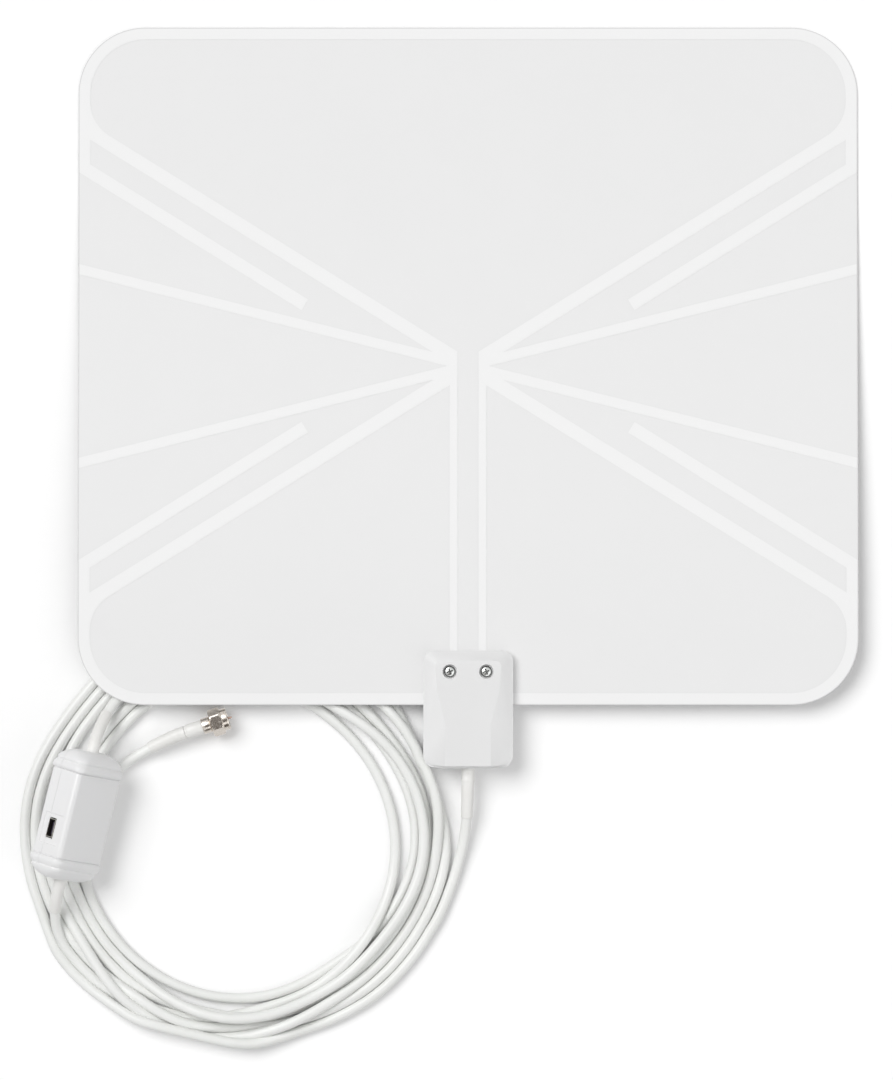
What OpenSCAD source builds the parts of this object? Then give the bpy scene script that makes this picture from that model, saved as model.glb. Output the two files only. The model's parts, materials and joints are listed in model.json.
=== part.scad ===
// Flat indoor tv antenna with an in-line amplifier and a screw-on coaxial plug, in millimetres.
// It lies on its back. +Z is up, +Y is towards the sheet's top edge, and the origin is on the
// surface it lies on, under the middle of the sheet and its feed housing.

/* [Sheet] */
// Width of the sheet
sheet_w = 351; // [330:1:380]
// Height of the sheet
sheet_h = 305; // [290:1:320]
// Radius of the sheet's corners
sheet_corner = 30; // [28:1:36]
// Thickness of each plastic film
film_t = 0.25; // [0.2:0.05:0.35]
// Thickness of the conductor between the films
foil_t = 0.1; // [0.05:0.05:0.2]
// Height of the sheet's lower edge above the table, where the housing holds it
lift = 9; // [8:0.5:10]

/* [Conductor] */
// Width of the ring along the sheet's edge
ring_w = 5.3; // [4:0.1:7]
// Radius of the ring's inner corners
ring_corner = 25; // [20:1:28]
// Slope of the outer arms, in degrees
outer_slope = 31.8; // [30:0.1:33]
// Width of the outer arm
outer_arm_w = 6; // [4:0.1:7]
// Width of the stub beside the outer arm
stub_w = 5.6; // [4:0.1:7]
// Distance between the outer arm and its stub
stub_pitch = 15.3; // [13:0.1:17]
// Distance of the stub's free end from the middle of the sheet
stub_start = 77; // [60:1:100]
// Slope of the inner arms, in degrees
inner_slope = 14; // [12:0.1:16]
// Width of the inner arm
inner_arm_w = 4.5; // [3:0.1:6]
// Width of a feed line
feed_w = 3.5; // [2.5:0.1:4.5]
// Gap between the two feed lines
feed_gap = 9.5; // [8:0.1:11]

/* [Housing] */
// Width of the housing
housing_w = 40.3; // [39:0.1:42]
// Length of the housing
housing_l = 53; // [52:0.5:55]
// Height of the front shell above the sheet's middle plane
front_shell_h = 8.3; // [8:0.1:9]
// Wall thickness of both shells
housing_wall = 1.8; // [1.5:0.1:2.2]
// Distance between the two screws
screw_pitch = 16.4; // [16:0.1:17]
// Distance of the screws from the housing's top edge
screw_inset = 9.4; // [9:0.1:10]

/* [Amplifier] */
// Length of the amplifier case over its end caps
case_l = 59; // [57:0.5:61]
// Width of the case
case_w = 28; // [27:0.5:29]
// Thickness of the case
case_d = 18; // [17.5:0.1:18.5]
// Height of the case's middle above the table: it rests on the coil
case_z = 19.3; // [19:0.1:20]
// Turn of the case's length away from +Y, in degrees
case_turn = 14; // [12:0.5:16]
// Rise of the case's upper end, in degrees
case_pitch = 2; // [1:0.1:2]
// Roll of the case onto its right edge, in degrees
case_roll = 48; // [46:1:49]

/* [Cord] */
// Diameter of the cord
cord_d = 4.6; // [4.4:0.1:4.8]
// Inner radius of the coil
coil_in = 68; // [66:1:70]
// Outer radius of the coil
coil_out = 97; // [95:1:98]

/* [Plug] */
// Width of the coupling nut across its flats
nut_flats = 11; // [10.5:0.1:11.1]
// Length of the nut's six-sided part
nut_hex_l = 5.3; // [4.5:0.1:6]
// Length of the nut's round front
nut_ring_l = 2.8; // [2.4:0.1:3.2]
// Radial running clearance of the nut on its post
nut_play = 0.05; // [0.02:0.01:0.08]
// Direction of the plug in plan, in degrees
plug_turn = 18.4; // [15:0.1:20]

/* [Hidden] */
$fn = 48;
eps = 0.01;

// The sheet and the housing share one middle line, and the origin is under the middle of both.
total_l = 333.5;
sheet_y = total_l / 2 - sheet_h / 2;
sheet_low_y = total_l / 2 - sheet_h;
sheet_t = 2 * film_t + foil_t;
pad_w = 7;
housing_low_y = -total_l / 2;
housing_top_y = housing_low_y + housing_l;
screw_y = housing_top_y - screw_inset;

// The sheet is level where the housing holds it, and it bends down until it meets the table.
level_y = -105;
touch_y = 150;
bend_steps = 17;

// Plan of the feed housing
housing_corner = 4.6;
chin_drop = 2.2;
chin_half = 9.9;
rear_chamfer_w = 3;
rear_chamfer_h = 4.2;
split_z = lift + sheet_t / 2;
shoulder_z = split_z + 4.2;
crown_z = split_z + front_shell_h;
cavity_half = 16;
cavity_low_y = housing_low_y + 4;
cavity_top_y = sheet_low_y - 2;

// Screws: a pan head in a round recess, and a straight shank
head_r = 2.5;
head_h = 1.6;
recess_r = 3.2;
recess_h = 2.3;
shank_r = 1.25;
hole_play = 0.06;
head_z = crown_z - recess_h;
shank_end_z = 3;

// Balun and its contacts
balun_z = 4;
balun_t = 1;
core = [8, 7, 5];
core_hole_r = 1.1;
core_pitch = 3.6;
wire = 0.4;
contact_w = 4;
contact_t = 0.3;
contact_pad_r = 2.9;

// Amplifier case, in its own frame: length along Y, port on the -X side, front face on +Z
case_mid = [-175.6, -187.7, case_z];
case_edge = 3.2;
rim_grow = 0.8;
rim_start = 19.6;
rim_end = 23.6;
dome_start = 24.2;
case_split = -2.4;
case_wall = 1.6;
gland_r = 2.7;
gland_play = 0.05;
port_y = -7.3;
port_size = [9, 8.4, 4];
port_wall = 0.3;
panel_low = -14.7;
panel_high = -0.7;
panel_half = 6.2;
panel_deep = 0.3;

// The plug, in its own frame: its axis is Z and 0 is the back of the crimped collar
plug_at = [-119.5, -148.1, 6.45];
boot_l = 8.4;
boot_r = 3.25;
collar_l = 3.9;
collar_r = 3.6;
post_r = 3.25;
post_in = 1.9;
flange_r = 4.5;
flange_t = 1.15;
nut_start = 4;
nut_web = 1.4;
nut_bore = 4.76;
nut_ring_r = 5.05;
pin_r = 0.5;
pin_out = 1.8;
nut_end = nut_start + nut_hex_l + nut_ring_l;

// Where the cord and its sleeves run. Each route is a list of points along its middle.
coil_mid = [-104, -200];
coil_h = 4.8;
sleeve_r = 2.6;
housing_sleeve_r = 2.95;
housing_sleeve_path = [
    [0, -166.7, 9.3], [0, -172, 9.2], [-0.2, -178, 8.7], [-0.4, -184, 7.8], [-0.6, -189, 6.8]
];
housing_lead_path = [
    [-0.6, -189, 6.8], [-1.8, -198, 4.8], [-4, -208, 3.3], [-8, -221, 2.5], [-14, -235, 2.4],
    [-22, -247, 2.4]
];
output_sleeve_path = [
    [-167.5, -155.5, 19.9], [-166, -150.4, 17], [-164.3, -146.3, 13.6], [-162.5, -142.4, 10]
];
outgoing_lead_path = [
    [-162.5, -142.4, 10], [-158.2, -136, 6.3], [-150.2, -128.8, 3.8], [-139, -122.5, 2.6]
];
input_sleeve_path = [
    [-183.5, -219.7, 17.9], [-184.8, -225, 14.9], [-185.7, -230.6, 10.9]
];
amp_lead_path = [
    [-185.7, -230.6, 10.9], [-185.2, -238, 6.6], [-181.9, -246.7, 3.4], [-175.5, -255.5, 2.4]
];
plug_sleeve_path = [
    [-127.5, -150.8, 6.45], [-131.4, -152.2, 6.35], [-137.3, -154.8, 5.8], [-143.1, -157.7, 4.9]
];
plug_lead_path = [
    [-143.1, -157.7, 4.9], [-149, -161.1, 3.6], [-154.6, -165, 2.8], [-159.3, -170, 2.4],
    [-163, -176.4, 2.4], [-166.6, -184.6, 2.4], [-169.5, -194, 2.4], [-171.8, -203, 2.4],
    [-173.2, -211, 2.4], [-173.4, -218.5, 2.4]
];

// Height of the underside of the sheet at a distance along Y
function sheet_z(y) =
    let (s = min(1, max(0, (touch_y - y) / (touch_y - level_y))))
    lift * (4 * pow(s, 3) - 3 * pow(s, 4));

function bend_y(i) = level_y + (touch_y - level_y) * i / bend_steps;

function profile_y() = concat(
    [sheet_low_y - 1],
    [for (i = [0 : bend_steps]) bend_y(i)],
    [total_l / 2 + 1]
);

function unit(v) = v / norm(v);

// Direction of a route at one of its points
function heading(path, i) =
    unit(path[min(i + 1, len(path) - 1)] - path[max(i - 1, 0)]);

// One ring of points across a route
function route_ring(path, i, radius, sides, way) =
    let (side = unit(cross([0, 0, 1], way)), up = cross(way, side))
    [for (k = [0 : sides - 1])
        path[i] + radius * (cos(360 * k / sides) * side + sin(360 * k / sides) * up)];

// A smooth tube along a route. The radius runs evenly from start to end.
module route_tube(path, r_start, r_end, first_way, last_way, sides = 12) {
    count = len(path);
    function way_at(i) =
        i == 0 && first_way != undef ? first_way
        : i == count - 1 && last_way != undef ? last_way
        : heading(path, i);
    rings = [for (i = [0 : count - 1])
        route_ring(path, i, r_start + (r_end - r_start) * i / (count - 1), sides, way_at(i))];
    points = [for (r = rings) each r];
    walls = [for (i = [0 : count - 2], k = [0 : sides - 1])
        let (a = i * sides + k, b = i * sides + (k + 1) % sides)
        each [[a, b, b + sides], [a, b + sides, a + sides]]];
    caps = [
        [for (k = [sides - 1 : -1 : 0]) k],
        [for (k = [0 : sides - 1]) (count - 1) * sides + k]
    ];
    polyhedron(points = points, faces = concat([for (w = walls) [w[2], w[1], w[0]]],
        [for (c = caps) [for (j = [len(c) - 1 : -1 : 0]) c[j]]]));
}

// A rectangle with round corners, about the origin
module round_rect(w, h, r) {
    square([w - 2 * r, h], center = true);
    square([w, h - 2 * r], center = true);
    for (x = [-1, 1], y = [-1, 1])
        translate([x * (w / 2 - r), y * (h / 2 - r)])
            circle(r = r);
}

module sheet_outline() {
    round_rect(sheet_w, sheet_h, sheet_corner);
}

// A layer of the sheet between two heights above its underside
module sheet_layer(low, high) {
    ys = profile_y();
    translate([-sheet_w / 2 - 1, 0, 0])
        rotate([90, 0, 90])
            linear_extrude(sheet_w + 2)
                polygon(concat(
                    [for (y = ys) [y, sheet_z(y) + low]],
                    [for (i = [len(ys) - 1 : -1 : 0]) [ys[i], sheet_z(ys[i]) + high]]
                ));
}

// A flat shape on the sheet, stood up through its whole height
module upright() {
    translate([0, sheet_y, -1])
        linear_extrude(lift + 4)
            children();
}

module arm(slope, width, start, shift) {
    rotate(slope)
        translate([start, shift - width / 2])
            square([sheet_w, width]);
}

// The ring's side bends smoothly into the outer arm
module arm_fillet() {
    r = 18;
    half = outer_arm_w / 2;
    x = sheet_w / 2 - ring_w;
    reach = (x + half * sin(outer_slope)) / cos(outer_slope);
    y = reach * sin(outer_slope) + half * cos(outer_slope);
    run = r / tan((90 + outer_slope) / 2);
    difference() {
        polygon([
            [x + 1, y - 1],
            [x + 1, y + run],
            [x, y + run],
            [x - r, y + run],
            [x - run * cos(outer_slope), y - run * sin(outer_slope)],
            [x - run * cos(outer_slope), y - run * sin(outer_slope) - 1]
        ]);
        translate([x - r, y + run])
            circle(r = r);
    }
}

// One quarter of the conductor: ring, outer arm, stub and inner arm
module quarter() {
    stub_y = (sheet_w / 2) * tan(outer_slope) - stub_pitch / cos(outer_slope);
    difference() {
        intersection() {
            sheet_outline();
            translate([0, stub_y])
                square([sheet_w, sheet_h]);
        }
        round_rect(sheet_w - 2 * ring_w, sheet_h - 2 * ring_w, ring_corner);
    }
    intersection() {
        sheet_outline();
        translate([feed_gap / 2, 0])
            square([sheet_w, sheet_h]);
        union() {
            arm(outer_slope, outer_arm_w, 0, 0);
            arm(outer_slope, stub_w, stub_start, -stub_pitch);
            arm(inner_slope, inner_arm_w, 0, 0);
            arm_fillet();
        }
    }
    translate([0, sheet_h / 2 - ring_w])
        square([sheet_w / 2 - sheet_corner, ring_w]);
}

module feed_line() {
    pad_low = screw_y - sheet_y - 5;
    pad_high = screw_y - sheet_y + 5;
    x = feed_gap / 2;
    polygon([
        [x, x * tan(outer_slope)],
        [x, pad_low],
        [x + pad_w, pad_low],
        [x + pad_w, pad_high],
        [x + feed_w, pad_high],
        [x + feed_w, (x + feed_w) * tan(outer_slope)]
    ]);
}

module screw_holes(r) {
    for (x = [-1, 1])
        translate([x * screw_pitch / 2, screw_y - sheet_y])
            circle(r = r);
}

// The left or right half: two quarters, joined by the feed line that runs down from them
module conductor_half() {
    quarter();
    mirror([0, 1])
        quarter();
    feed_line();
}

module conductor() {
    difference() {
        conductor_half();
        screw_holes(shank_r + 0.2);
    }
    mirror([1, 0])
        difference() {
            conductor_half();
            screw_holes(shank_r + 0.2);
        }
}

module front_film() {
    color([0.93, 0.93, 0.93, 0.9]) {
        intersection() {
            sheet_layer(film_t, film_t + film_t);
            upright()
                difference() {
                    sheet_outline();
                    conductor();
                    screw_holes(shank_r + 0.2);
                }
        }
        intersection() {
            sheet_layer(film_t + foil_t, sheet_t);
            upright()
                conductor();
        }
    }
}

module antenna_element() {
    color("silver")
        intersection() {
            sheet_layer(film_t, film_t + foil_t);
            upright()
                conductor();
        }
}

module rear_film() {
    color([0.95, 0.95, 0.95])
        intersection() {
            sheet_layer(0, film_t);
            upright()
                difference() {
                    sheet_outline();
                    screw_holes(contact_pad_r + 0.1);
                }
        }
}

// Plan of the housing: a rounded rectangle with a shallow chin at the cord's end
module housing_plan(inset = 0) {
    l = housing_l - chin_drop;
    translate([0, housing_top_y - l / 2])
        round_rect(housing_w - 2 * inset, l - 2 * inset, max(1, housing_corner - inset));
    low = housing_low_y + inset;
    polygon([
        [-chin_half, low],
        [chin_half, low],
        [housing_w / 2 - housing_corner, low + chin_drop],
        [housing_w / 2 - housing_corner, low + chin_drop + 2],
        [-housing_w / 2 + housing_corner, low + chin_drop + 2],
        [-housing_w / 2 + housing_corner, low + chin_drop]
    ]);
}

// The raised middle is wide round the screws and narrows towards the cord.
module crown_wide() {
    polygon([
        [-13.6, housing_top_y - 4.6], [13.6, housing_top_y - 4.6], [15, housing_top_y - 6.6],
        [14, housing_top_y - 18], [10.2, housing_top_y - 33], [-10.2, housing_top_y - 33],
        [-14, housing_top_y - 18], [-15, housing_top_y - 6.6]
    ]);
}

module crown_narrow() {
    translate([-10.2, housing_low_y + 1.2])
        square([20.4, 26]);
}

module slice(z) {
    translate([0, 0, z])
        linear_extrude(eps)
            children();
}

module crowned_form() {
    translate([0, 0, split_z])
        linear_extrude(shoulder_z - split_z)
            housing_plan();
    hull() {
        slice(shoulder_z - eps)
            intersection() {
                housing_plan(0.4);
                translate([-50, housing_top_y - 40])
                    square([100, 60]);
            }
        slice(crown_z - eps)
            crown_wide();
    }
    hull() {
        slice(shoulder_z - eps)
            intersection() {
                housing_plan(0.4);
                translate([-50, housing_low_y - 10])
                    square([100, 30]);
            }
        slice(crown_z - eps)
            crown_narrow();
    }
}

// Room between the shells for the sheet's lower edge
module sheet_slot() {
    translate([-housing_w, sheet_low_y, lift])
        cube([2 * housing_w, sheet_h, sheet_t]);
}

module cord_hole() {
    translate([0, housing_low_y + 8, split_z])
        rotate([90, 0, 0])
            cylinder(r = housing_sleeve_r + 0.05, h = 20);
}

module housing_front_shell() {
    color("white")
        difference() {
            crowned_form();
            sheet_slot();
            cord_hole();
            translate([-cavity_half, cavity_low_y, split_z - eps])
                cube([2 * cavity_half, cavity_top_y - cavity_low_y, 3.2]);
            translate([-9, cavity_low_y, split_z - eps])
                cube([18, cavity_top_y - cavity_low_y, 6]);
            for (x = [-1, 1])
                translate([x * screw_pitch / 2, screw_y, 0]) {
                    translate([0, 0, head_z])
                        cylinder(r = recess_r, h = 10);
                    cylinder(r = shank_r + hole_play, h = 30);
                }
        }
}

// The back edges are chamfered all round, so that a cord can lie against the housing.
module rear_chamfer() {
    mid_y = (housing_low_y + housing_top_y) / 2;
    for (way = [[0, housing_w / 2], [90, housing_l / 2], [180, housing_w / 2], [270, housing_l / 2]])
        translate([0, mid_y, 0])
            rotate(way[0])
                translate([way[1], 0, 0])
                    rotate([90, 0, 0])
                        linear_extrude(2 * housing_l, center = true)
                            polygon([
                                [1, -1], [-rear_chamfer_w - 0.7, -1], [-rear_chamfer_w, 0],
                                [0, rear_chamfer_h], [1, rear_chamfer_h]
                            ]);
}

module housing_rear_shell() {
    color("white")
        difference() {
            linear_extrude(split_z)
                housing_plan();
            rear_chamfer();
            sheet_slot();
            cord_hole();
            translate([-cavity_half, cavity_low_y, housing_wall])
                cube([2 * cavity_half, cavity_top_y - cavity_low_y, lift]);
            for (x = [-1, 1]) {
                translate([x * screw_pitch / 2, screw_y, shank_end_z - 0.5])
                    cylinder(r = shank_r + hole_play, h = 30);
                translate([x * screw_pitch / 2 - contact_w / 2 - 0.1, cavity_top_y - 1,
                        lift - contact_t - 0.02])
                    cube([contact_w + 0.2, screw_y - cavity_top_y + 1, 2]);
                translate([x * screw_pitch / 2, screw_y, lift - contact_t - 0.02])
                    cylinder(r = contact_pad_r + 0.1, h = 2);
            }
        }
    // Two ledges carry the circuit board.
    color("white")
        for (x = [-1, 1])
            translate([x * 13 - 1.5, cavity_low_y, housing_wall - eps])
                cube([3, cavity_top_y - cavity_low_y, balun_z - housing_wall + eps]);
}

module housing_screws() {
    color([0.75, 0.75, 0.76])
        for (x = [-1, 1])
            translate([x * screw_pitch / 2, screw_y, 0])
                difference() {
                    union() {
                        translate([0, 0, shank_end_z])
                            cylinder(r = shank_r, h = head_z - shank_end_z + 0.5);
                        translate([0, 0, head_z + 0.02])
                            rotate_extrude()
                                polygon([
                                    [0, 0], [head_r, 0], [head_r, 0.7], [2.2, 1.15],
                                    [1.6, 1.45], [0, head_h]
                                ]);
                    }
                    // Cross recess
                    translate([0, 0, head_z + head_h])
                        for (a = [0, 90])
                            rotate(a + 20)
                                cube([2.9, 0.65, 1.8], center = true);
                }
}

// A spring strip from under the sheet's feed pad down to the board
module feed_contact(side) {
    x = side * screw_pitch / 2;
    drop_y = cavity_top_y - 3;
    color([0.8, 0.6, 0.3])
        difference() {
            union() {
                translate([x - contact_w / 2, drop_y, lift - contact_t])
                    cube([contact_w, screw_y - drop_y, contact_t]);
                translate([x - contact_w / 2, drop_y, balun_z + balun_t])
                    cube([contact_w, contact_t, lift - balun_z - balun_t]);
                translate([x - contact_w / 2, drop_y - 2.5, balun_z + balun_t])
                    cube([contact_w, 2.5 + contact_t, contact_t]);
                translate([x, screw_y, lift - contact_t])
                    cylinder(r = contact_pad_r, h = contact_t);
                translate([x, screw_y, lift - eps])
                    cylinder(r = contact_pad_r - 0.3, h = film_t + eps);
            }
            translate([x, screw_y, 0])
                cylinder(r = shank_r + 0.2, h = 30);
        }
}

module balun_board() {
    l = cavity_top_y - cavity_low_y - 1;
    color("darkgreen")
        difference() {
            translate([-15.5, cavity_low_y + 0.5, balun_z])
                cube([31, l, balun_t]);
            for (x = [-1, 1])
                translate([x * 13, cavity_low_y + 4, balun_z - 1])
                    cylinder(r = 0.8, h = 4);
        }
}

module balun_core() {
    z = balun_z + balun_t;
    y = (cavity_low_y + cavity_top_y) / 2 + 1;
    color([0.25, 0.24, 0.24])
        translate([0, y, z + core[2] / 2])
            difference() {
                cube(core, center = true);
                for (x = [-1, 1])
                    translate([x * core_pitch / 2, 0, 0])
                        rotate([90, 0, 0])
                            cylinder(r = core_hole_r, h = 20, center = true);
            }
}

// Three turns through both holes of the core, with two ends down to the board
module balun_winding() {
    z = balun_z + balun_t + core[2] / 2;
    y = (cavity_low_y + cavity_top_y) / 2 + 1;
    turn_l = core[1] + 1.4;
    color([0.72, 0.35, 0.2]) {
        for (k = [-1 : 1])
            translate([0, y, z + k * 0.55 - wire / 2])
                linear_extrude(wire)
                    difference() {
                        round_rect(core_pitch + wire, turn_l, 0.6);
                        round_rect(core_pitch - wire, turn_l - 2 * wire, 0.4);
                    }
        translate([-wire / 2, y + turn_l / 2 - wire, z - 0.75])
            cube([wire, wire, 1.5]);
        for (x = [-1, 1])
            translate([x * core_pitch / 2 - wire / 2, y - turn_l / 2, balun_z + balun_t])
                cube([wire, wire, core[2] / 2]);
    }
}

module housing_cord_sleeve() {
    color([0.93, 0.93, 0.91]) {
        translate([0, housing_low_y + 6, split_z])
            rotate([90, 0, 0])
                cylinder(r = housing_sleeve_r, h = 6);
        route_tube(housing_sleeve_path, housing_sleeve_r, 2.65, [0, -1, 0], undef);
        // A small step ring a little way out of the housing
        translate(housing_sleeve_path[1])
            rotate([92, 0, 0])
                cylinder(r = housing_sleeve_r + 0.15, h = 0.8, center = true);
    }
}

module cord_colour() {
    color([0.9, 0.91, 0.89])
        children();
}

module housing_lead() {
    cord_colour()
        route_tube(housing_lead_path, cord_d / 2, cord_d / 2,
            heading(housing_sleeve_path, len(housing_sleeve_path) - 1), undef);
}

// The outer shape of the coil's turns, with a notch at the amplifier and one at the housing
module cord_coil() {
    cord_colour()
        difference() {
            translate([coil_mid.x, coil_mid.y, 0])
                rotate_extrude($fn = 96)
                    polygon([
                        [coil_in, 1.2], [coil_in + 1.2, 0], [coil_out - 1.2, 0], [coil_out, 1.2],
                        [coil_out, coil_h - 1.2], [coil_out - 1.2, coil_h],
                        [coil_in + 1.2, coil_h], [coil_in, coil_h - 1.2]
                    ]);
            translate([case_mid.x, case_mid.y, 0])
                rotate([0, 0, -case_turn])
                    translate([-6, -case_l / 2 - 0.5, -1])
                        cube([60, case_l + 1, 10]);
            translate([-housing_w / 2 - 0.4, housing_low_y - 0.4, -1])
                cube([housing_w, housing_l, 10]);
        }
}

module amp_lead() {
    cord_colour()
        route_tube(amp_lead_path, cord_d / 2, cord_d / 2,
            heading(input_sleeve_path, len(input_sleeve_path) - 1), undef);
}

module outgoing_lead() {
    cord_colour()
        route_tube(outgoing_lead_path, cord_d / 2, cord_d / 2,
            heading(output_sleeve_path, len(output_sleeve_path) - 1), undef);
}

module plug_lead() {
    cord_colour()
        route_tube(plug_lead_path, cord_d / 2, cord_d / 2,
            heading(plug_sleeve_path, len(plug_sleeve_path) - 1), undef);
}

// Places its children in the amplifier's frame
module in_case() {
    translate(case_mid)
        rotate([0, 0, -case_turn])
            rotate([case_pitch, 0, 0])
                rotate([0, case_roll, 0])
                    children();
}

// A cross-section of the case, extruded along its length from y
module case_slab(y, l, grow) {
    translate([0, y + l, 0])
        rotate([90, 0, 0])
            linear_extrude(l)
                round_rect(case_w + 2 * grow, case_d + 2 * grow, max(1, case_edge + grow));
}

// One end cap: a rim, a groove and a domed end
module case_cap() {
    case_slab(rim_start, rim_end - rim_start, rim_grow);
    case_slab(rim_end - 1, dome_start - rim_end + 1.1, 0.1);
    hull() {
        case_slab(dome_start, eps, 0.5);
        case_slab(dome_start + 2.4, eps, -0.3);
        case_slab(case_l / 2 - 1.2, eps, -2.2);
        case_slab(case_l / 2 - eps, eps, -4.4);
    }
}

module case_form() {
    difference() {
        case_slab(-rim_start - 0.5, 2 * rim_start + 1, 0);
        // A shallow panel round the port
        translate([-case_w / 2 - 1, panel_low, -panel_half])
            cube([1 + panel_deep, panel_high - panel_low, 2 * panel_half]);
    }
    for (a = [0, 1])
        mirror([0, a, 0])
            case_cap();
}

module case_glands(r) {
    rotate([90, 0, 0])
        cylinder(r = r, h = case_l + 4, center = true);
}

module case_pocket() {
    case_slab(-rim_end + 1.5, 2 * rim_end - 3, -case_wall);
}

module above_split(side) {
    translate([-50, -50, side > 0 ? case_split : case_split - 50])
        cube([100, 100, 50]);
}

module port_hole(play) {
    translate([-case_w / 2 - 4, port_y - port_size.y / 2 - play, case_split - play])
        cube([port_size.x + 4, port_size.y + 2 * play, port_size.z + 2 * play]);
}

module amp_front_shell() {
    color("white")
        in_case()
            difference() {
                intersection() {
                    case_form();
                    above_split(1);
                }
                case_pocket();
                case_glands(gland_r + gland_play);
                port_hole(0.25);
            }
}

module amp_rear_shell() {
    color("white")
        in_case()
            difference() {
                intersection() {
                    case_form();
                    above_split(-1);
                }
                intersection() {
                    case_pocket();
                    translate([-50, -50, case_split - 1])
                        cube([100, 100, 50]);
                }
                // Below the board the pocket is narrower, so the board rests on a ledge.
                case_slab(-rim_end + 3.5, 2 * rim_end - 7, -case_wall - 2);
                case_glands(gland_r + gland_play);
                port_hole(0.25);
            }
}

module amp_board() {
    l = 2 * rim_end - 3.4;
    color("darkgreen")
        in_case()
            translate([-(case_w / 2 - case_wall - 0.3), -l / 2, case_split - 1])
                cube([case_w - 2 * case_wall - 0.6, l, 1]);
}

module amp_shield_can() {
    color([0.8, 0.8, 0.8])
        in_case()
            translate([-7, -1.5, case_split])
                difference() {
                    cube([16, 19, 5]);
                    translate([0.4, 0.4, -1])
                        cube([15.2, 18.2, 5.6]);
                }
}

module usb_socket_shell() {
    color([0.8, 0.8, 0.82])
        in_case()
            translate([-case_w / 2 + 0.1, port_y - port_size.y / 2, case_split])
                difference() {
                    cube(port_size);
                    translate([-1, port_wall, port_wall])
                        cube([port_size.x, port_size.y - 2 * port_wall, port_size.z - 2 * port_wall]);
                }
}

module usb_tongue() {
    z = case_split + port_size.z / 2;
    color([0.12, 0.12, 0.12])
        in_case() {
            translate([-case_w / 2 + 1.6, port_y - 2.8, z - 0.5])
                cube([port_size.x - 2.5, 5.6, 1]);
            translate([-case_w / 2 + 6, port_y - port_size.y / 2 + port_wall, case_split + port_wall])
                cube([port_size.x - 6.9, port_size.y - 2 * port_wall, port_size.z - 2 * port_wall]);
        }
}

// Point of the amplifier's axis in the part's frame, at a distance from its middle
function case_axis(t) = case_mid + t * [
    sin(case_turn) * cos(case_pitch), cos(case_turn) * cos(case_pitch), sin(case_pitch)
];

// The part of a sleeve that sits in the case, with a flange inside the wall
module gland(end) {
    in_case()
        translate([0, end * (case_l / 2 + 1), 0])
            rotate([end * 90, 0, 0]) {
                cylinder(r = gland_r, h = 7);
                translate([0, 0, -0.6])
                    cylinder(r = gland_r + 0.3, h = 0.9);
            }
}

module amp_output_sleeve() {
    path = concat([case_axis(case_l / 2 + 1)], output_sleeve_path);
    color([0.93, 0.93, 0.91]) {
        gland(1);
        route_tube(path, sleeve_r, sleeve_r - 0.1, unit(case_axis(1) - case_axis(0)),
            heading(output_sleeve_path, len(output_sleeve_path) - 1));
    }
}

module amp_input_sleeve() {
    path = concat([case_axis(-case_l / 2 - 1)], input_sleeve_path);
    color([0.93, 0.93, 0.91]) {
        gland(-1);
        route_tube(path, sleeve_r, sleeve_r - 0.1, unit(case_axis(-1) - case_axis(0)),
            heading(input_sleeve_path, len(input_sleeve_path) - 1));
    }
}

// Places its children in the plug's frame
module in_plug() {
    translate(plug_at)
        rotate([0, 0, plug_turn])
            rotate([0, 90, 0])
                children();
}

module plug_sleeve() {
    color([0.93, 0.93, 0.91])
        route_tube(plug_sleeve_path, 2.85, 2.65, [-cos(plug_turn), -sin(plug_turn), 0], undef);
}

module plug_boot() {
    color([0.95, 0.95, 0.94])
        in_plug()
            rotate_extrude()
                polygon([
                    [0, -boot_l], [2.9, -boot_l], [2.9, -boot_l + 0.8], [boot_r, -boot_l + 1.4],
                    [boot_r, -0.4], [boot_r - 0.4, 0], [0, 0]
                ]);
}

module plug_collar() {
    color([0.78, 0.76, 0.72])
        in_plug()
            rotate_extrude()
                polygon([
                    [2.6, 0.02], [collar_r - 0.2, 0.02], [collar_r, 0.3], [collar_r, collar_l - 0.5],
                    [collar_r - 0.3, collar_l], [2.6, collar_l]
                ]);
}

module plug_post() {
    flange_z = nut_start + nut_web + 0.05;
    color([0.78, 0.76, 0.72])
        in_plug()
            rotate_extrude()
                polygon([
                    [post_in, 0.02], [2.6, 0.02], [2.6, collar_l], [post_r, collar_l],
                    [post_r, flange_z], [flange_r, flange_z], [flange_r, flange_z + flange_t],
                    [post_in, flange_z + flange_t]
                ]);
}

module plug_nut() {
    corner_r = nut_flats / 2 / cos(30);
    color([0.78, 0.76, 0.72])
        in_plug()
            difference() {
                union() {
                    intersection() {
                        translate([0, 0, nut_start])
                            rotate(30)
                                cylinder(r = corner_r, h = nut_hex_l, $fn = 6);
                        translate([0, 0, nut_start])
                            rotate_extrude()
                                polygon([
                                    [0, 0], [corner_r - 0.7, 0], [corner_r + 0.1, 0.55],
                                    [corner_r + 0.1, nut_hex_l - 0.55],
                                    [corner_r - 0.7, nut_hex_l], [0, nut_hex_l]
                                ]);
                    }
                    translate([0, 0, nut_start + nut_hex_l - eps])
                        rotate_extrude()
                            polygon([
                                [0, 0], [nut_ring_r, 0], [nut_ring_r, nut_ring_l - 0.4],
                                [nut_ring_r - 0.3, nut_ring_l + eps], [0, nut_ring_l + eps]
                            ]);
                }
                translate([0, 0, nut_start - 1])
                    cylinder(r = post_r + nut_play, h = 10);
                translate([0, 0, nut_start + nut_web])
                    cylinder(r = nut_bore, h = 20);
            }
}

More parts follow.
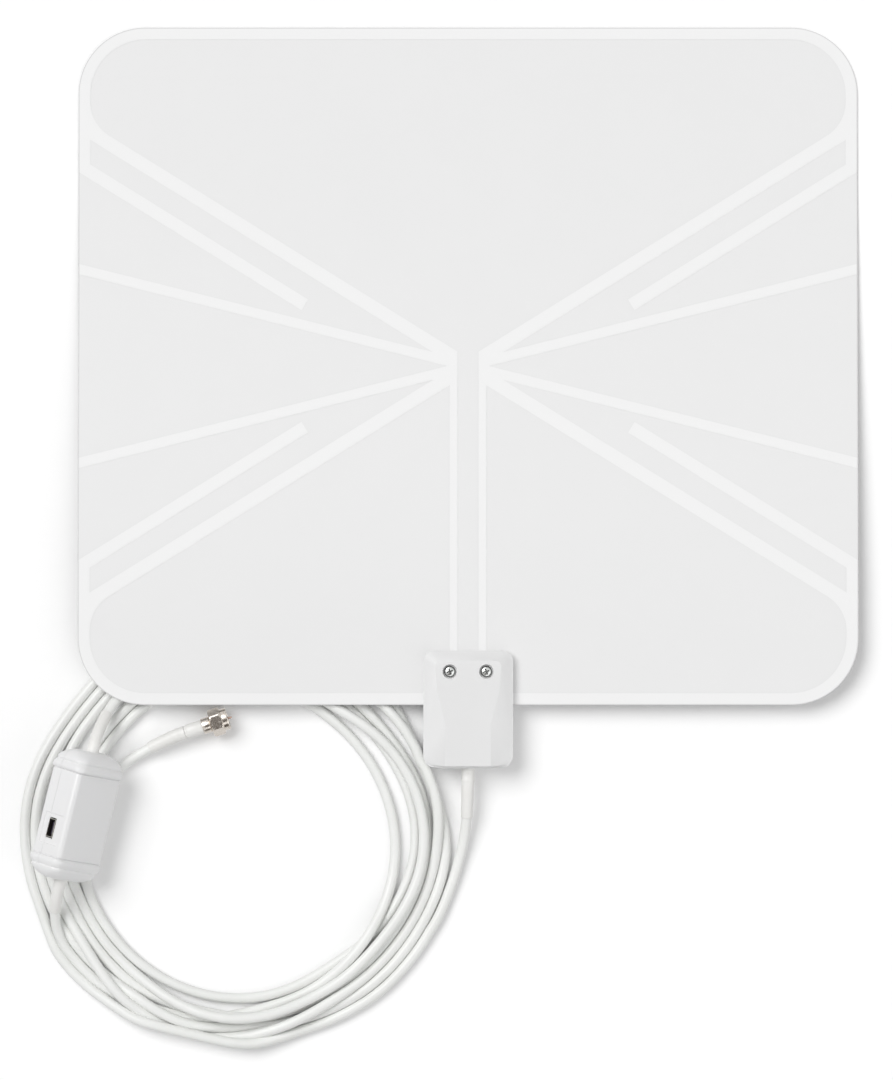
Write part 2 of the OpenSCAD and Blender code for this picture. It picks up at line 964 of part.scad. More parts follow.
module plug_insulator() {
    l = nut_start + nut_web + 0.05 + flange_t - 0.02;
    color("white")
        in_plug()
            translate([0, 0, 0.02])
                difference() {
                    cylinder(r = post_in, h = l);
                    translate([0, 0, -1])
                        cylinder(r = pin_r, h = l + 2);
                }
}

module plug_pin() {
    l = nut_end + pin_out;
    color([0.8, 0.55, 0.4])
        in_plug()
            rotate_extrude($fn = 24)
                polygon([[0, 0.02], [pin_r, 0.02], [pin_r, l - 0.6], [pin_r / 2, l], [0, l]]);
}

front_film();
antenna_element();
rear_film();
housing_front_shell();
housing_rear_shell();
housing_screws();
feed_contact(-1);  // feed_contact_left
feed_contact(1);  // feed_contact_right
balun_board();
balun_core();
balun_winding();
housing_cord_sleeve();
housing_lead();
cord_coil();
amp_lead();
outgoing_lead();
plug_lead();
amp_front_shell();
amp_rear_shell();
amp_board();
amp_shield_can();
usb_socket_shell();
usb_tongue();
amp_input_sleeve();
amp_output_sleeve();
plug_sleeve();
plug_boot();
plug_collar();
plug_post();
plug_nut();
plug_insulator();
plug_pin();
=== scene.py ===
"""Looks of a flat indoor tv antenna with its coiled cord, in-line amplifier and screw-on plug.

Lengths are written in millimetres inside the classes and become metres when a mesh or a curve
is made. MM is a millimetre in metres, and WELD is how far apart, in millimetres, corners of a
CAD node's loose triangles still count as one.
"""

import json
import logging
import math
from dataclasses import dataclass, field
from enum import Enum
from typing import Callable, Iterable, Sequence

import bmesh
import bpy
import numpy as np
from mathutils import Matrix, Vector

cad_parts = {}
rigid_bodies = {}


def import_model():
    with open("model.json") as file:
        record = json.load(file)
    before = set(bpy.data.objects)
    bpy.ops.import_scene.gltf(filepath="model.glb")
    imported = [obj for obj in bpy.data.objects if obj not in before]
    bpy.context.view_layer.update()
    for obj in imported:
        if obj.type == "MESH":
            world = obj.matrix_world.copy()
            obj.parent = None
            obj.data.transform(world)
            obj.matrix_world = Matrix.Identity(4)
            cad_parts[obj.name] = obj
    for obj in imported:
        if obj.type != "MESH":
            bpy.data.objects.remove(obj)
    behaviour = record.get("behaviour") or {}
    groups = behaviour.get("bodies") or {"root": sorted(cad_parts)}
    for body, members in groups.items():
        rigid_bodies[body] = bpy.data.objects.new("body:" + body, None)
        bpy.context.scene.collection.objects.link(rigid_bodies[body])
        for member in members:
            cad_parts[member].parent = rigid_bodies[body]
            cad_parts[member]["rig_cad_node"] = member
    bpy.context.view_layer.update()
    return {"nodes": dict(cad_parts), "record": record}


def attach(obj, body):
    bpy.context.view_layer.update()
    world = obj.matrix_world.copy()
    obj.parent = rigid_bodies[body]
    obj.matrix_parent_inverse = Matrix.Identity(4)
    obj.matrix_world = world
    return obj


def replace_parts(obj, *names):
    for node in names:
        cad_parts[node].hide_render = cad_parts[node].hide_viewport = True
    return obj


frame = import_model()

LOG = logging.getLogger("antenna")
MM = 0.001
WELD = 0.004
NODES = frame["nodes"]
Point = Sequence[float]

# Where the amplifier's case lies: its middle, and its turns about Z, X and Y in degrees
CASE_MIDDLE = (-175.6, -187.7, 19.3)
CASE_TURNS = (("Z", -14), ("X", 2), ("Y", 48))


@dataclass
class CameraRig:
    """The camera over the object, looking straight down.

    Args:
        at: place in metres.
        lens: focal length in millimetres on a 36 mm sensor along the picture's long side.
    """

    at: tuple[float, float, float] = (-0.0097, -0.0641, 4.006)
    lens: float = 296.3

    def build(self) -> bpy.types.Object:
        """Makes the camera and gives it to the scene.

        Returns:
            The camera object.
        """
        data = bpy.data.cameras.new("camera")
        data.lens = self.lens
        data.sensor_width = 36.0
        data.clip_start = 0.01
        camera = bpy.data.objects.new("camera", data)
        bpy.context.scene.collection.objects.link(camera)
        camera.location = self.at
        bpy.context.scene.camera = camera
        return camera


# Given points of the uncoiled parts, in metres
HOUSING_LEAD = [
    (-0.0006, -0.189, 0.0068), (-0.0018, -0.198, 0.0048), (-0.004, -0.208, 0.0033),
    (-0.008, -0.221, 0.0025), (-0.014, -0.235, 0.0024), (-0.022, -0.247, 0.0024),
]
AMP_LEAD = [
    (-0.1857, -0.2306, 0.0109), (-0.1852, -0.238, 0.0066), (-0.1819, -0.2467, 0.0034),
    (-0.1755, -0.2555, 0.0024),
]
OUTGOING_LEAD = [
    (-0.1625, -0.1424, 0.010), (-0.1582, -0.136, 0.0063), (-0.1502, -0.1288, 0.0038),
    (-0.139, -0.1225, 0.0026),
]
PLUG_LEAD = [
    (-0.1431, -0.1577, 0.0049), (-0.149, -0.1611, 0.0036), (-0.1546, -0.165, 0.0028),
    (-0.1593, -0.170, 0.0024), (-0.163, -0.1764, 0.0024), (-0.1666, -0.1846, 0.0024),
    (-0.1695, -0.194, 0.0024), (-0.1718, -0.203, 0.0024), (-0.1732, -0.211, 0.0024),
    (-0.1734, -0.2185, 0.0024),
]
OUTPUT_SLEEVE = [
    (-0.1675, -0.1555, 0.0199), (-0.166, -0.1504, 0.017), (-0.1643, -0.1463, 0.0136),
    (-0.1625, -0.1424, 0.010),
]
INPUT_SLEEVE = [
    (-0.1835, -0.2197, 0.0179), (-0.1848, -0.225, 0.0149), (-0.1857, -0.2306, 0.0109),
]
HOUSING_SLEEVE = [
    (0.0, -0.1667, 0.0093), (0.0, -0.172, 0.0092), (-0.0002, -0.178, 0.0087),
    (-0.0004, -0.184, 0.0078), (-0.0006, -0.189, 0.0068),
]
PLUG_SLEEVE = [
    (-0.1275, -0.1508, 0.00645), (-0.1314, -0.1522, 0.00635), (-0.1373, -0.1548, 0.0058),
    (-0.1431, -0.1577, 0.0049),
]

# The coil's turns: clockwise degrees from the right, radius and the height that a strand
# is dropped from, in millimetres. Strands that cross over others start higher.
LONG_CORD_TURNS = [
    (42, 93.0, 5), (56, 90.3, 14), (68, 88.6, 17), (83, 88.2, 17), (97, 88.2, 17),
    (106, 87.8, 17), (119, 88.2, 17), (132, 90.2, 17), (141, 91.2, 17), (149, 91.4, 16),
    (156, 91.8, 12), (164, 92.4, 6), (171, 93.4, 3), (178, 94.9, 2.3), (186, 95.9, 2.3),
    (193, 96.4, 2.3), (202, 96.4, 2.3), (211, 95.2, 2.3), (226, 94.6, 2.3), (246, 98.0, 2.3),
    (270, 98.5, 2.3), (300, 95.0, 2.3), (318, 92.6, 2.3), (336, 90.0, 2.3), (360, 93.2, 3),
    (375, 92.2, 5), (390, 90.4, 5), (410, 88.0, 5), (435, 85.4, 5), (455, 84.8, 7),
    (480, 85.0, 9), (500, 86.4, 9), (515, 87.4, 8), (530, 89.2, 4), (540, 91.0, 2.3),
    (553, 91.8, 2.3), (571, 90.8, 2.3), (586, 90.4, 2.3), (606, 93.2, 2.3), (630, 93.8, 2.3),
    (660, 90.0, 2.3), (690, 92.6, 8), (712, 92.4, 10), (740, 86.0, 12), (770, 82.8, 12),
    (796, 85.4, 15), (820, 88.6, 17), (842, 86.6, 15), (862, 83.2, 11), (877, 82.6, 7),
    (890, 82.6, 3),
    (900, 83.0, 2.3), (915, 84.2, 2.3), (931, 86.2, 2.3), (946, 87.6, 2.3), (966, 89.2, 2.3),
    (990, 88.6, 2.3), (1020, 81.6, 2.3), (1050, 83.4, 2.3), (1080, 85.6, 4), (1105, 82.6, 9),
    (1130, 80.4, 12), (1170, 78.8, 13), (1200, 78.4, 13), (1225, 78.8, 12), (1245, 79.0, 11),
    (1260, 79.0, 10), (1275, 78.2, 6), (1291, 76.8, 3), (1306, 77.2, 2.3), (1326, 80.0, 2.3),
    (1350, 79.6, 2.3), (1380, 75.4, 4), (1404, 79.5, 12), (1428, 84.6, 17), (1450, 83.6, 17),
    (1474, 78.6, 14), (1498, 76.6, 14), (1524, 79.4, 16), (1548, 77.8, 13), (1572, 75.4, 9),
    (1590, 75.2, 7),
    (1605, 75.8, 5), (1620, 75.8, 2.3), (1635, 74.8, 2.3), (1651, 73.2, 2.3),
    (1666, 73.4, 2.3), (1686, 75.2, 2.3), (1710, 74.4, 2.3), (1740, 70.0, 2.3),
    (1770, 69.8, 2.3), (1800, 71.2, 5), (1818, 72.0, 7), (1840, 72.8, 7), (1858, 73.8, 7),
    (1872, 75.4, 4), (1885, 77.4, 2.3), (1900, 80.4, 2.3), (1920, 85.2, 2.3),
    (1934, 89.0, 2.3),
]
SHORT_CORD_TURNS = [
    (258, 84.4, 2.3), (270, 83.6, 2.3), (300, 78.0, 2.3), (330, 79.0, 2.3), (360, 80.6, 2.3),
    (378, 77.6, 2.3), (396, 73.6, 2.3), (415, 71.2, 2.3), (440, 70.6, 2.3), (460, 70.4, 2.3),
    (485, 70.0, 2.3), (505, 70.4, 2.3),
]


def rotation(axis: str, degrees: float) -> np.ndarray:
    """Returns the 3x3 rotation about a named axis."""
    return np.array(Matrix.Rotation(math.radians(degrees), 3, axis))


def along(line: np.ndarray) -> np.ndarray:
    """Returns how far along a line each of its points lies."""
    return np.concatenate([[0], np.cumsum(np.linalg.norm(np.diff(line, axis=0), axis=1))])


def share(value: float) -> float:
    """Returns a number kept between 0 and 1."""
    return min(1.0, max(0.0, value))


def dimmed(colour: Point, factor: float) -> tuple[float, ...]:
    """Returns a colour times a number."""
    return tuple(c * factor for c in colour)


def spaced(line: np.ndarray, step: float) -> np.ndarray:
    """Resamples a line at even distances.

    Args:
        line: the line's points.
        step: about how far apart the new points lie.

    Returns:
        The new points.
    """
    line = np.asarray(line, float)
    far = along(line)
    count = max(2, int(round(far[-1] / step)) + 1)
    at = np.linspace(0, far[-1], count)
    return np.stack([np.interp(at, far, line[:, k]) for k in range(3)], 1)


def curved(points: Sequence[Point], step: float = 1.0) -> np.ndarray:
    """Draws a smooth curve through points.

    Args:
        points: the points, in millimetres.
        step: distance between the samples.

    Returns:
        The curve's samples.
    """
    p = np.asarray(points, float)
    p = np.vstack([2 * p[0] - p[1], p, 2 * p[-1] - p[-2]])
    out = []
    for i in range(1, len(p) - 2):
        a, b, c, d = p[i - 1:i + 3]
        for t in np.linspace(0, 1, max(2, int(np.linalg.norm(c - b) / step)), endpoint=False):
            out.append(0.5 * (2 * b + (c - a) * t + (2 * a - 5 * b + 4 * c - d) * t**2
                              + (3 * b - 3 * c + d - a) * t**3))
    out.append(p[-2])
    return np.array(out)


@dataclass
class Obstacle:
    """A rounded box that the cords lie against.

    Args:
        middle: its centre.
        turn: its 3x3 rotation.
        half: half its size.
        edge: edge radius.
    """

    middle: np.ndarray
    turn: np.ndarray
    half: np.ndarray
    edge: float

    def push_out(self, p: np.ndarray, gap: float, free: np.ndarray) -> None:
        """Moves points that lie too near out to the distance they need.

        Args:
            p: the points, which are changed.
            gap: the distance.
            free: the points that may move.
        """
        q = (p - self.middle) @ self.turn
        d = np.abs(q) - (self.half - self.edge)
        deepest = d.max(1)
        out = np.maximum(d, 0)
        distance = np.linalg.norm(out, axis=1) + np.minimum(deepest, 0) - self.edge
        way = np.where(deepest[:, None] > 0, out, (d == deepest[:, None]) * 1.0) * np.sign(q)
        way /= np.maximum(np.linalg.norm(way, axis=1)[:, None], 1e-9)
        near = (distance < gap) & free
        p[near] += (gap - distance[near])[:, None] * (way @ self.turn.T)[near]


@dataclass
class CordLayout:
    """Works out how the two cords lie: coil turns from the key tables, dropped on the floor
    and on each other.

    Args:
        diameter: of the cord.
        step: distance between the points of a cord.
        rounds: rounds of settling.
        middle: the coil's middle.
        strand_gap: space kept between strands.
        sleeve_gap: space kept between a strand and a sleeve.
        reach: distance within which points are compared.
        own_points: neighbours on the same cord that aren't compared.
        sheet_side: how far the sheet reaches to either side.
        sheet_edge: where the sheet's lower edge lies.
        sheet_low: height of the sheet's back there.
        obstacles: what the cords lie against.
    """

    diameter: float = 4.6
    step: float = 2.5
    rounds: int = 360
    middle: tuple[float, float] = (-104.0, -200.0)
    strand_gap: float = 0.06
    sleeve_gap: float = 0.35
    reach: float = 9.0
    own_points: int = 14
    sheet_side: float = 173.0
    sheet_edge: float = -138.25
    sheet_low: float = 9.0
    obstacles: list[Obstacle] = field(default_factory=lambda: [
        Obstacle(
            np.array(CASE_MIDDLE),
            rotation(*CASE_TURNS[0]) @ rotation(*CASE_TURNS[1]) @ rotation(*CASE_TURNS[2]),
            np.array([14.4, 27.6, 9.4]), 3.6),
        Obstacle(np.array([0, -139.2, 8.8]), np.eye(3), np.array([20.3, 25.4, 9.0]), 4.4),
    ])

    def polar(self, point: Point) -> tuple[float, float]:
        """Returns a point's clockwise angle from the right, and its radius in the coil."""
        dx, dy = point[0] - self.middle[0], point[1] - self.middle[1]
        return math.degrees(-math.atan2(dy, dx)) % 360, math.hypot(dx, dy)

    def turns(self, keys: Sequence[tuple[float, float, float]]) -> np.ndarray:
        """Draws a smooth line through a table of turns.

        Args:
            keys: (angle, radius, height) rows.

        Returns:
            A point every two degrees.
        """
        keys = np.asarray(keys, float)
        x, y = keys[:, 0], keys[:, 1:]
        h = np.diff(x)
        slope = np.diff(y, axis=0) / h[:, None]
        m = np.zeros_like(y)
        m[1:-1] = (slope[:-1] * h[1:, None] + slope[1:] * h[:-1, None]) / (h[1:] + h[:-1])[:, None]
        m[0], m[-1] = slope[0], slope[-1]
        points = []
        for angle in np.arange(x[0], x[-1], 2.0):
            i = int(np.clip(np.searchsorted(x, angle) - 1, 0, len(x) - 2))
            t = (angle - x[i]) / h[i]
            radius, height = (
                (2 * t**3 - 3 * t**2 + 1) * y[i] + (t**3 - 2 * t**2 + t) * h[i] * m[i]
                + (3 * t**2 - 2 * t**3) * y[i + 1] + (t**3 - t**2) * h[i] * m[i + 1])
            a = math.radians(angle)
            points.append((self.middle[0] + radius * math.cos(a),
                           self.middle[1] - radius * math.sin(a), height))
        return np.array(points)

    def whole(self, first: Sequence[Point], keys: Sequence[Point], last: Sequence[Point],
              drop: float, laps: float) -> np.ndarray:
        """Joins a lead, the coil turns and the last lead into one evenly spaced line.

        Args:
            first: the lead's points before the coil, in metres.
            keys: the coil's key table.
            last: the lead's points after the coil, given from its far end, in metres.
            drop: how much smaller the radius is where the turns start.
            laps: degrees of the whole turns before the last lead's angle.

        Returns:
            The cord's points in millimetres.
        """
        first, last = np.array(first) / MM, np.array(last) / MM
        a0, r0 = self.polar(first[-1])
        a1, r1 = self.polar(last[-1])
        ease, low = 3, 2.4
        start = (a0 + ease, r0 - drop, low)
        end = (laps + a1 - ease, r1 - 0.6 * (drop > 0), low)
        table = [start, *keys, end]
        return spaced(np.vstack([curved(first), self.turns(table), curved(last)[::-1]]), self.step)

    def held(self, lead: Sequence[Point]) -> int:
        """Returns how many points of a cord a lead covers."""
        line = curved(np.array(lead) / MM)
        return int(np.linalg.norm(np.diff(line, axis=0), axis=1).sum() / self.step)

    def lay(self) -> tuple[np.ndarray, np.ndarray]:
        """Settles both cords.

        Returns:
            The points of the long and of the short cord, in millimetres.
        """
        long = self.whole(HOUSING_LEAD, LONG_CORD_TURNS, AMP_LEAD, 0.4, 1800)
        short = self.whole(OUTGOING_LEAD, SHORT_CORD_TURNS, PLUG_LEAD, 0.0, 360)
        n1, n = len(long), len(long) + len(short)
        sleeves = np.vstack([spaced(np.array(s) / MM, self.step)
                             for s in (OUTPUT_SLEEVE, INPUT_SLEEVE, PLUG_SLEEVE)])
        points = np.vstack([long, short, sleeves])
        target = points[:n, :2].copy()
        hold = np.zeros(len(points), bool)
        hold[:self.held(HOUSING_LEAD) - 2] = True
        hold[n1 - self.held(AMP_LEAD) + 2:n1 + self.held(OUTGOING_LEAD) - 2] = True
        hold[n - self.held(PLUG_LEAD) + 2:] = True
        which = np.repeat([0, 1, 2], [n1, n - n1, len(sleeves)])
        free = ~hold
        strong, weak, fast, slow, clear = 0.10, 0.04, 0.12, 0.03, 0.05
        for turn in range(self.rounds):
            if turn % 10 == 0:
                pairs, need = self.near_pairs(points, which, hold)
            early = turn < self.rounds * 0.5
            pull = (strong if early else weak) * (target - points[:n, :2])
            points[:n][free[:n], :2] += pull[free[:n]]
            points[free, 2] -= fast if turn < self.rounds * 0.7 else slow
            for _ in range(3):
                self.part(points, pairs, need, free)
                for obstacle in self.obstacles:
                    obstacle.push_out(points[:n], self.diameter / 2 + clear, free[:n])
                self.bound(points[:n], free[:n])
            for low, high in ((0, n1), (n1, n)):
                self.smooth(points[low:high], free[low:high])
        return points[:n1], points[n1:n]

    def near_pairs(self, points: np.ndarray, which: np.ndarray,
                   hold: np.ndarray) -> tuple[np.ndarray, np.ndarray]:
        """Finds the pairs of points that could touch.

        Args:
            points: all points.
            which: 0 for the long cord, 1 for the short one and 2 for a sleeve.
            hold: the points that stay where they are.

        Returns:
            The pairs, and the distance that each pair needs.
        """
        index = np.arange(len(points))
        square = ((points[:, None, :] - points[None, :, :])**2).sum(2)
        near = (square < self.reach**2) & (index[:, None] < index[None, :])
        same = which[:, None] == which[None, :]
        near &= ~(same & (np.abs(index[:, None] - index[None, :]) < self.own_points))
        near &= ~(hold[:, None] & hold[None, :])
        pairs = np.argwhere(near)
        sleeve = (which[pairs[:, 0]] == 2) | (which[pairs[:, 1]] == 2)
        return pairs, np.where(
            sleeve, self.diameter + self.sleeve_gap, self.diameter + self.strand_gap)

    @staticmethod
    def part(points: np.ndarray, pairs: np.ndarray, need: np.ndarray, free: np.ndarray) -> None:
        """Pushes pairs that overlap apart.

        Args:
            points: all points, which are changed.
            pairs: the pairs to compare.
            need: the distance that each pair needs.
            free: the points that may move.
        """
        tiny, eager = 1e-9, 1.04
        a, b = pairs[:, 0], pairs[:, 1]
        v = points[b] - points[a]
        length = np.linalg.norm(v, axis=1)
        hit = length < need
        a, b, v, length, want = a[hit], b[hit], v[hit], length[hit], need[hit]
        push = (want - length)[:, None] * v / np.maximum(length, 1e-6)[:, None]
        wa, wb = free[a] * 1.0, free[b] * 1.0
        total = np.maximum(wa + wb, tiny)
        move, count = np.zeros_like(points), np.zeros(len(points))
        np.add.at(move, a, -push * (wa / total)[:, None])
        np.add.at(move, b, push * (wb / total)[:, None])
        np.add.at(count, a, 1)
        np.add.at(count, b, 1)
        points += eager * move / np.maximum(count, 1)[:, None]

    def bound(self, p: np.ndarray, free: np.ndarray) -> None:
        """Keeps points on the floor, and below the sheet where they lie under it.

        Args:
            p: the points, which are changed.
            free: the points that may move.
        """
        r = self.diameter / 2
        p[free, 2] = np.maximum(p[free, 2], r)
        under = free & (np.abs(p[:, 0]) < self.sheet_side) & (p[:, 1] > self.sheet_edge)
        p[under, 2] = np.minimum(p[under, 2], self.sheet_low - r - 0.02)

    @staticmethod
    def smooth(q: np.ndarray, free: np.ndarray) -> None:
        """Evens out one cord's bends, over short and then over longer stretches.

        Args:
            q: the cord's points, which are changed.
            free: the points that may move.
        """
        m = free.copy()
        m[:2] = m[-2:] = False
        near = q.copy()
        near[2:-2] = (-q[:-4] + 4 * q[1:-3] + 10 * q[2:-2] + 4 * q[3:-1] - q[4:]) / 16
        q[m] += 0.9 * (near[m] - q[m])
        wide = q.copy()
        for w in (4, 3):
            even = wide.copy()
            even[2 * w:-2 * w] = (
                -wide[:-4 * w] + 4 * wide[w:-3 * w] + 10 * wide[2 * w:-2 * w]
                + 4 * wide[3 * w:-w] - wide[4 * w:]) / 16
            wide = even
        q[m] += 0.5 * (wide[m] - q[m])
        mean = q.copy()
        mean[1:-1] = (q[:-2] + 2 * q[1:-1] + q[2:]) / 4
        q[m, 2] += 0.3 * (mean[m, 2] - q[m, 2])


@dataclass(frozen=True, eq=False)
class Value:
    """One output socket of a node tree, with arithmetic that adds Math nodes.

    Args:
        graph: the node tree's wrapper.
        socket: the output socket.
    """

    graph: "Graph"
    socket: bpy.types.NodeSocket

    def __add__(self, other: "Value | float") -> "Value":
        """Returns self + other."""
        return self.graph.math("ADD", self, other)

    def __radd__(self, other: float) -> "Value":
        """Returns other + self."""
        return self.graph.math("ADD", other, self)

    def __sub__(self, other: "Value | float") -> "Value":
        """Returns self - other."""
        return self.graph.math("SUBTRACT", self, other)

    def __rsub__(self, other: float) -> "Value":
        """Returns other - self."""
        return self.graph.math("SUBTRACT", other, self)

    def __mul__(self, other: "Value | float") -> "Value":
        """Returns self * other."""
        return self.graph.math("MULTIPLY", self, other)

    def __rmul__(self, other: float) -> "Value":
        """Returns other * self."""
        return self.graph.math("MULTIPLY", other, self)

    def larger(self, other: "Value | float") -> "Value":
        """Returns the larger of this value and another."""
        return self.graph.math("MAXIMUM", self, other)

    def ramp(self, low: float, high: float) -> "Value":
        """Adds a smooth step.

        Args:
            low: up to here the result is 0.
            high: from here on the result is 1.

        Returns:
            The step.
        """
        node = self.graph.add(
            "ShaderNodeMapRange", {"interpolation_type": "SMOOTHSTEP"},
            {"Value": self, "From Min": low, "From Max": high})
        return Value(self.graph, node.outputs["Result"])


class Graph:
    """The node tree of a material or of the world.

    Args:
        owner: the material or world, whose tree is emptied.
    """

    # The Mix node's colour sockets by number, since its names are shared with other kinds
    MIX_INPUTS = (6, 7)
    MIX_RESULT = 2

    def __init__(self, owner: bpy.types.Material | bpy.types.World) -> None:
        """Empties the owner's node tree."""
        owner.use_nodes = True
        self.tree = owner.node_tree
        self.tree.nodes.clear()

    def add(self, kind: str, settings: dict | None = None,
            inputs: dict | None = None) -> bpy.types.Node:
        """Adds a node.

        Args:
            kind: the node's type name.
            settings: properties to set before the sockets are filled.
            inputs: socket name or index to a Value, which is linked, or a constant.

        Returns:
            The node.
        """
        node = self.tree.nodes.new(kind)
        for name, value in (settings or {}).items():
            setattr(node, name, value)
        for name, value in (inputs or {}).items():
            socket = node.inputs[name]
            if isinstance(value, Value):
                self.tree.links.new(value.socket, socket)
            elif value is not None:
                socket.default_value = value
        return node

    def out(self, node: bpy.types.Node, name: int | str = 0) -> Value:
        """Returns one of a node's outputs."""
        return Value(self, node.outputs[name])

    def math(self, operation: str, a: Value | float, b: Value | float) -> Value:
        """Adds a Math node."""
        return self.out(self.add("ShaderNodeMath", {"operation": operation}, {0: a, 1: b}))

    def mix(self, factor: Value | float, a: Value | Point, b: Value | Point) -> Value:
        """Mixes two colours.

        Args:
            factor: 0 for the first colour and 1 for the second.
            a: the first colour.
            b: the second colour.

        Returns:
            The mixed colour.
        """
        first, second = self.MIX_INPUTS
        node = self.add("ShaderNodeMix", {"data_type": "RGBA"},
                        {0: factor, first: rgba(a), second: rgba(b)})
        return self.out(node, self.MIX_RESULT)

    def blend(self, factor: Value, a: Value, b: Value) -> Value:
        """Mixes two shaders."""
        return self.out(self.add("ShaderNodeMixShader", None, {"Fac": factor, 1: a, 2: b}))

    def vector(self, operation: str, a: Value, b: Value | Point | None = None,
               name: int | str = 0) -> Value:
        """Adds a Vector Math node.

        Args:
            operation: what it does.
            a: the first vector.
            b: the second vector, if it takes one.
            name: the output that is wanted.

        Returns:
            That output.
        """
        return self.out(
            self.add("ShaderNodeVectorMath", {"operation": operation}, {0: a, 1: b}), name)

    def outline(self, middle: Point, half: Point, corner: float) -> Value:
        """Measures how far outside a rounded rectangle's outline a point lies.

        Args:
            middle: the rectangle's middle, in millimetres.
            half: half its size without its corners.
            corner: its corner radius.

        Returns:
            The distance in millimetres, below 0 inside.
        """
        beside = self.vector("SUBTRACT", self.place((1, 1, 0)), middle)
        past = self.vector("SUBTRACT", self.vector("ABSOLUTE", beside), half)
        outside = self.vector("MAXIMUM", past, (0, 0, 0))
        return self.vector("LENGTH", outside, name="Value") - corner

    def place(self, scale: tuple[float, float, float] = (1, 1, 1)) -> Value:
        """Returns object coordinates in millimetres, stretched by scale."""
        where = self.out(self.add("ShaderNodeTexCoord"), "Object")
        return self.vector("MULTIPLY", where, tuple(s / MM for s in scale))

    def noise(self, where: Value, size: float, detail: float = 2.0) -> Value:
        """Adds a Noise Texture.

        Args:
            where: its coordinates.
            size: of its features, in millimetres.
            detail: octaves.

        Returns:
            Noise from 0 to 1.
        """
        node = self.add(
            "ShaderNodeTexNoise", None,
            {"Vector": where, "Scale": 1 / size, "Detail": detail, "Roughness": 0.55})
        return self.out(node, 0)

    def bump(self, height: Value, depth: float) -> Value:
        """Adds a Bump node.

        Args:
            height: from 0 to 1.
            depth: how much a height of 1 stands out, in millimetres.

        Returns:
            The normal.
        """
        node = self.add(
            "ShaderNodeBump", None,
            {"Strength": 1.0, "Distance": depth * MM, "Height": height})
        return self.out(node)

    def attribute(self, name: str) -> Value:
        """Returns a float attribute of the mesh."""
        return self.out(self.add("ShaderNodeAttribute", {"attribute_name": name}), "Fac")


def rgba(colour: Value | Point) -> Value | tuple[float, ...]:
    """Returns a constant colour with its alpha, and a linked one as it is."""
    return colour if isinstance(colour, Value) else (*colour[:3], 1.0)


class Texture(Enum):
    """What a finish's surface looks like close up."""

    MOULDED = "fine moulded grain"
    PRINTED = "film over a printed conductor"
    JACKET = "extruded cord jacket"
    TURNED = "turned and plated metal"
    # The dark in a screw head's recess is painted shade, not a colour of the screw
    DRIVEN = "plated screw head with a dark recess"
    SHEET_METAL = "rolled sheet metal"
    BOARD = "circuit board with tracks"
    SINTERED = "sintered ferrite"


# The film's brightness over the conductor, and its painted shade along the cut edge, against its
# own colour
OVER_FOIL, CUT_EDGE_SHADE = 1.068, 0.8


@dataclass(frozen=True)
class Finish:
    """One material.

    Args:
        slot: the record's material slot.
        texture: its close-up look.
        colour: base colour.
        second: colour that the first one varies to.
        roughness: of the surface.
        metallic: 1 for metals.
        depth: height of its grain, in millimetres.
        size: size of its grain, in millimetres.
    """

    slot: str
    texture: Texture
    colour: tuple[float, float, float]
    second: tuple[float, float, float]
    roughness: float
    metallic: float = 0.0
    depth: float = 0.01
    size: float = 0.4

    def build(self) -> bpy.types.Material:
        """Makes the material.

        Returns:
            The Blender material, named after its slot.
        """
        material = bpy.data.materials.new(self.slot)
        graph = Graph(material)
        where = graph.place()
        wide = graph.noise(where, self.size * 40, 3).ramp(0.35, 0.65)
        height = fine = graph.noise(where, self.size, 2)
        rough = self.roughness + 0.05 * (wide - 0.5)
        colour = graph.mix(wide, self.colour, self.second)
        if self.texture is Texture.PRINTED:
            over = graph.attribute("over_foil")
            colour = graph.mix(over, colour, dimmed(self.colour, OVER_FOIL))
            # Painted shade: a thin darker band along the film's cut edge
            half = (Sheet.width / 2 - Sheet.corner, Sheet.height / 2 - Sheet.corner, 0)
            cut = graph.outline((0, Sheet.middle_y, 0), half, Sheet.corner).ramp(-0.7, -0.1)
            colour = graph.mix(cut, colour, dimmed(self.colour, CUT_EDGE_SHADE))
        elif self.texture is Texture.JACKET:
            rub = graph.noise(where, 3.0, 4).ramp(0.55, 0.8)
            colour = graph.mix(0.25 * rub, colour, dimmed(self.second, 0.94))
            rough = rough + 0.06 * rub
        elif self.texture in (Texture.TURNED, Texture.DRIVEN):
            wear = graph.noise(where, 1.1, 5).ramp(0.45, 0.75)
            colour = graph.mix(0.5 * wear, colour, dimmed(self.second, 0.7))
            rough = rough + 0.12 * wear
            if self.texture is Texture.DRIVEN:
                # Painted shade: the recesses of the screw heads are darkened with depth
                recess = graph.attribute("recess")
                colour = graph.mix(recess, colour, dimmed(self.second, 0.16))
                rough = rough + 0.2 * recess
        elif self.texture is Texture.SHEET_METAL:
            height = graph.noise(graph.place((0.15, 4, 4)), self.size, 3)
        elif self.texture is Texture.BOARD:
            tracks = graph.noise(graph.place((1, 0.2, 1)), 2.2, 1).ramp(0.52, 0.56)
            colour = graph.mix(tracks, colour, self.second)
            height = tracks
        elif self.texture is Texture.SINTERED:
            rough = rough + 0.1 * fine
        shader = graph.add("ShaderNodeBsdfPrincipled", None, {
            "Base Color": colour, "Roughness": rough, "Metallic": self.metallic,
            "Normal": graph.bump(height, self.depth)})
        graph.add("ShaderNodeOutputMaterial", None, {"Surface": graph.out(shader)})
        return material


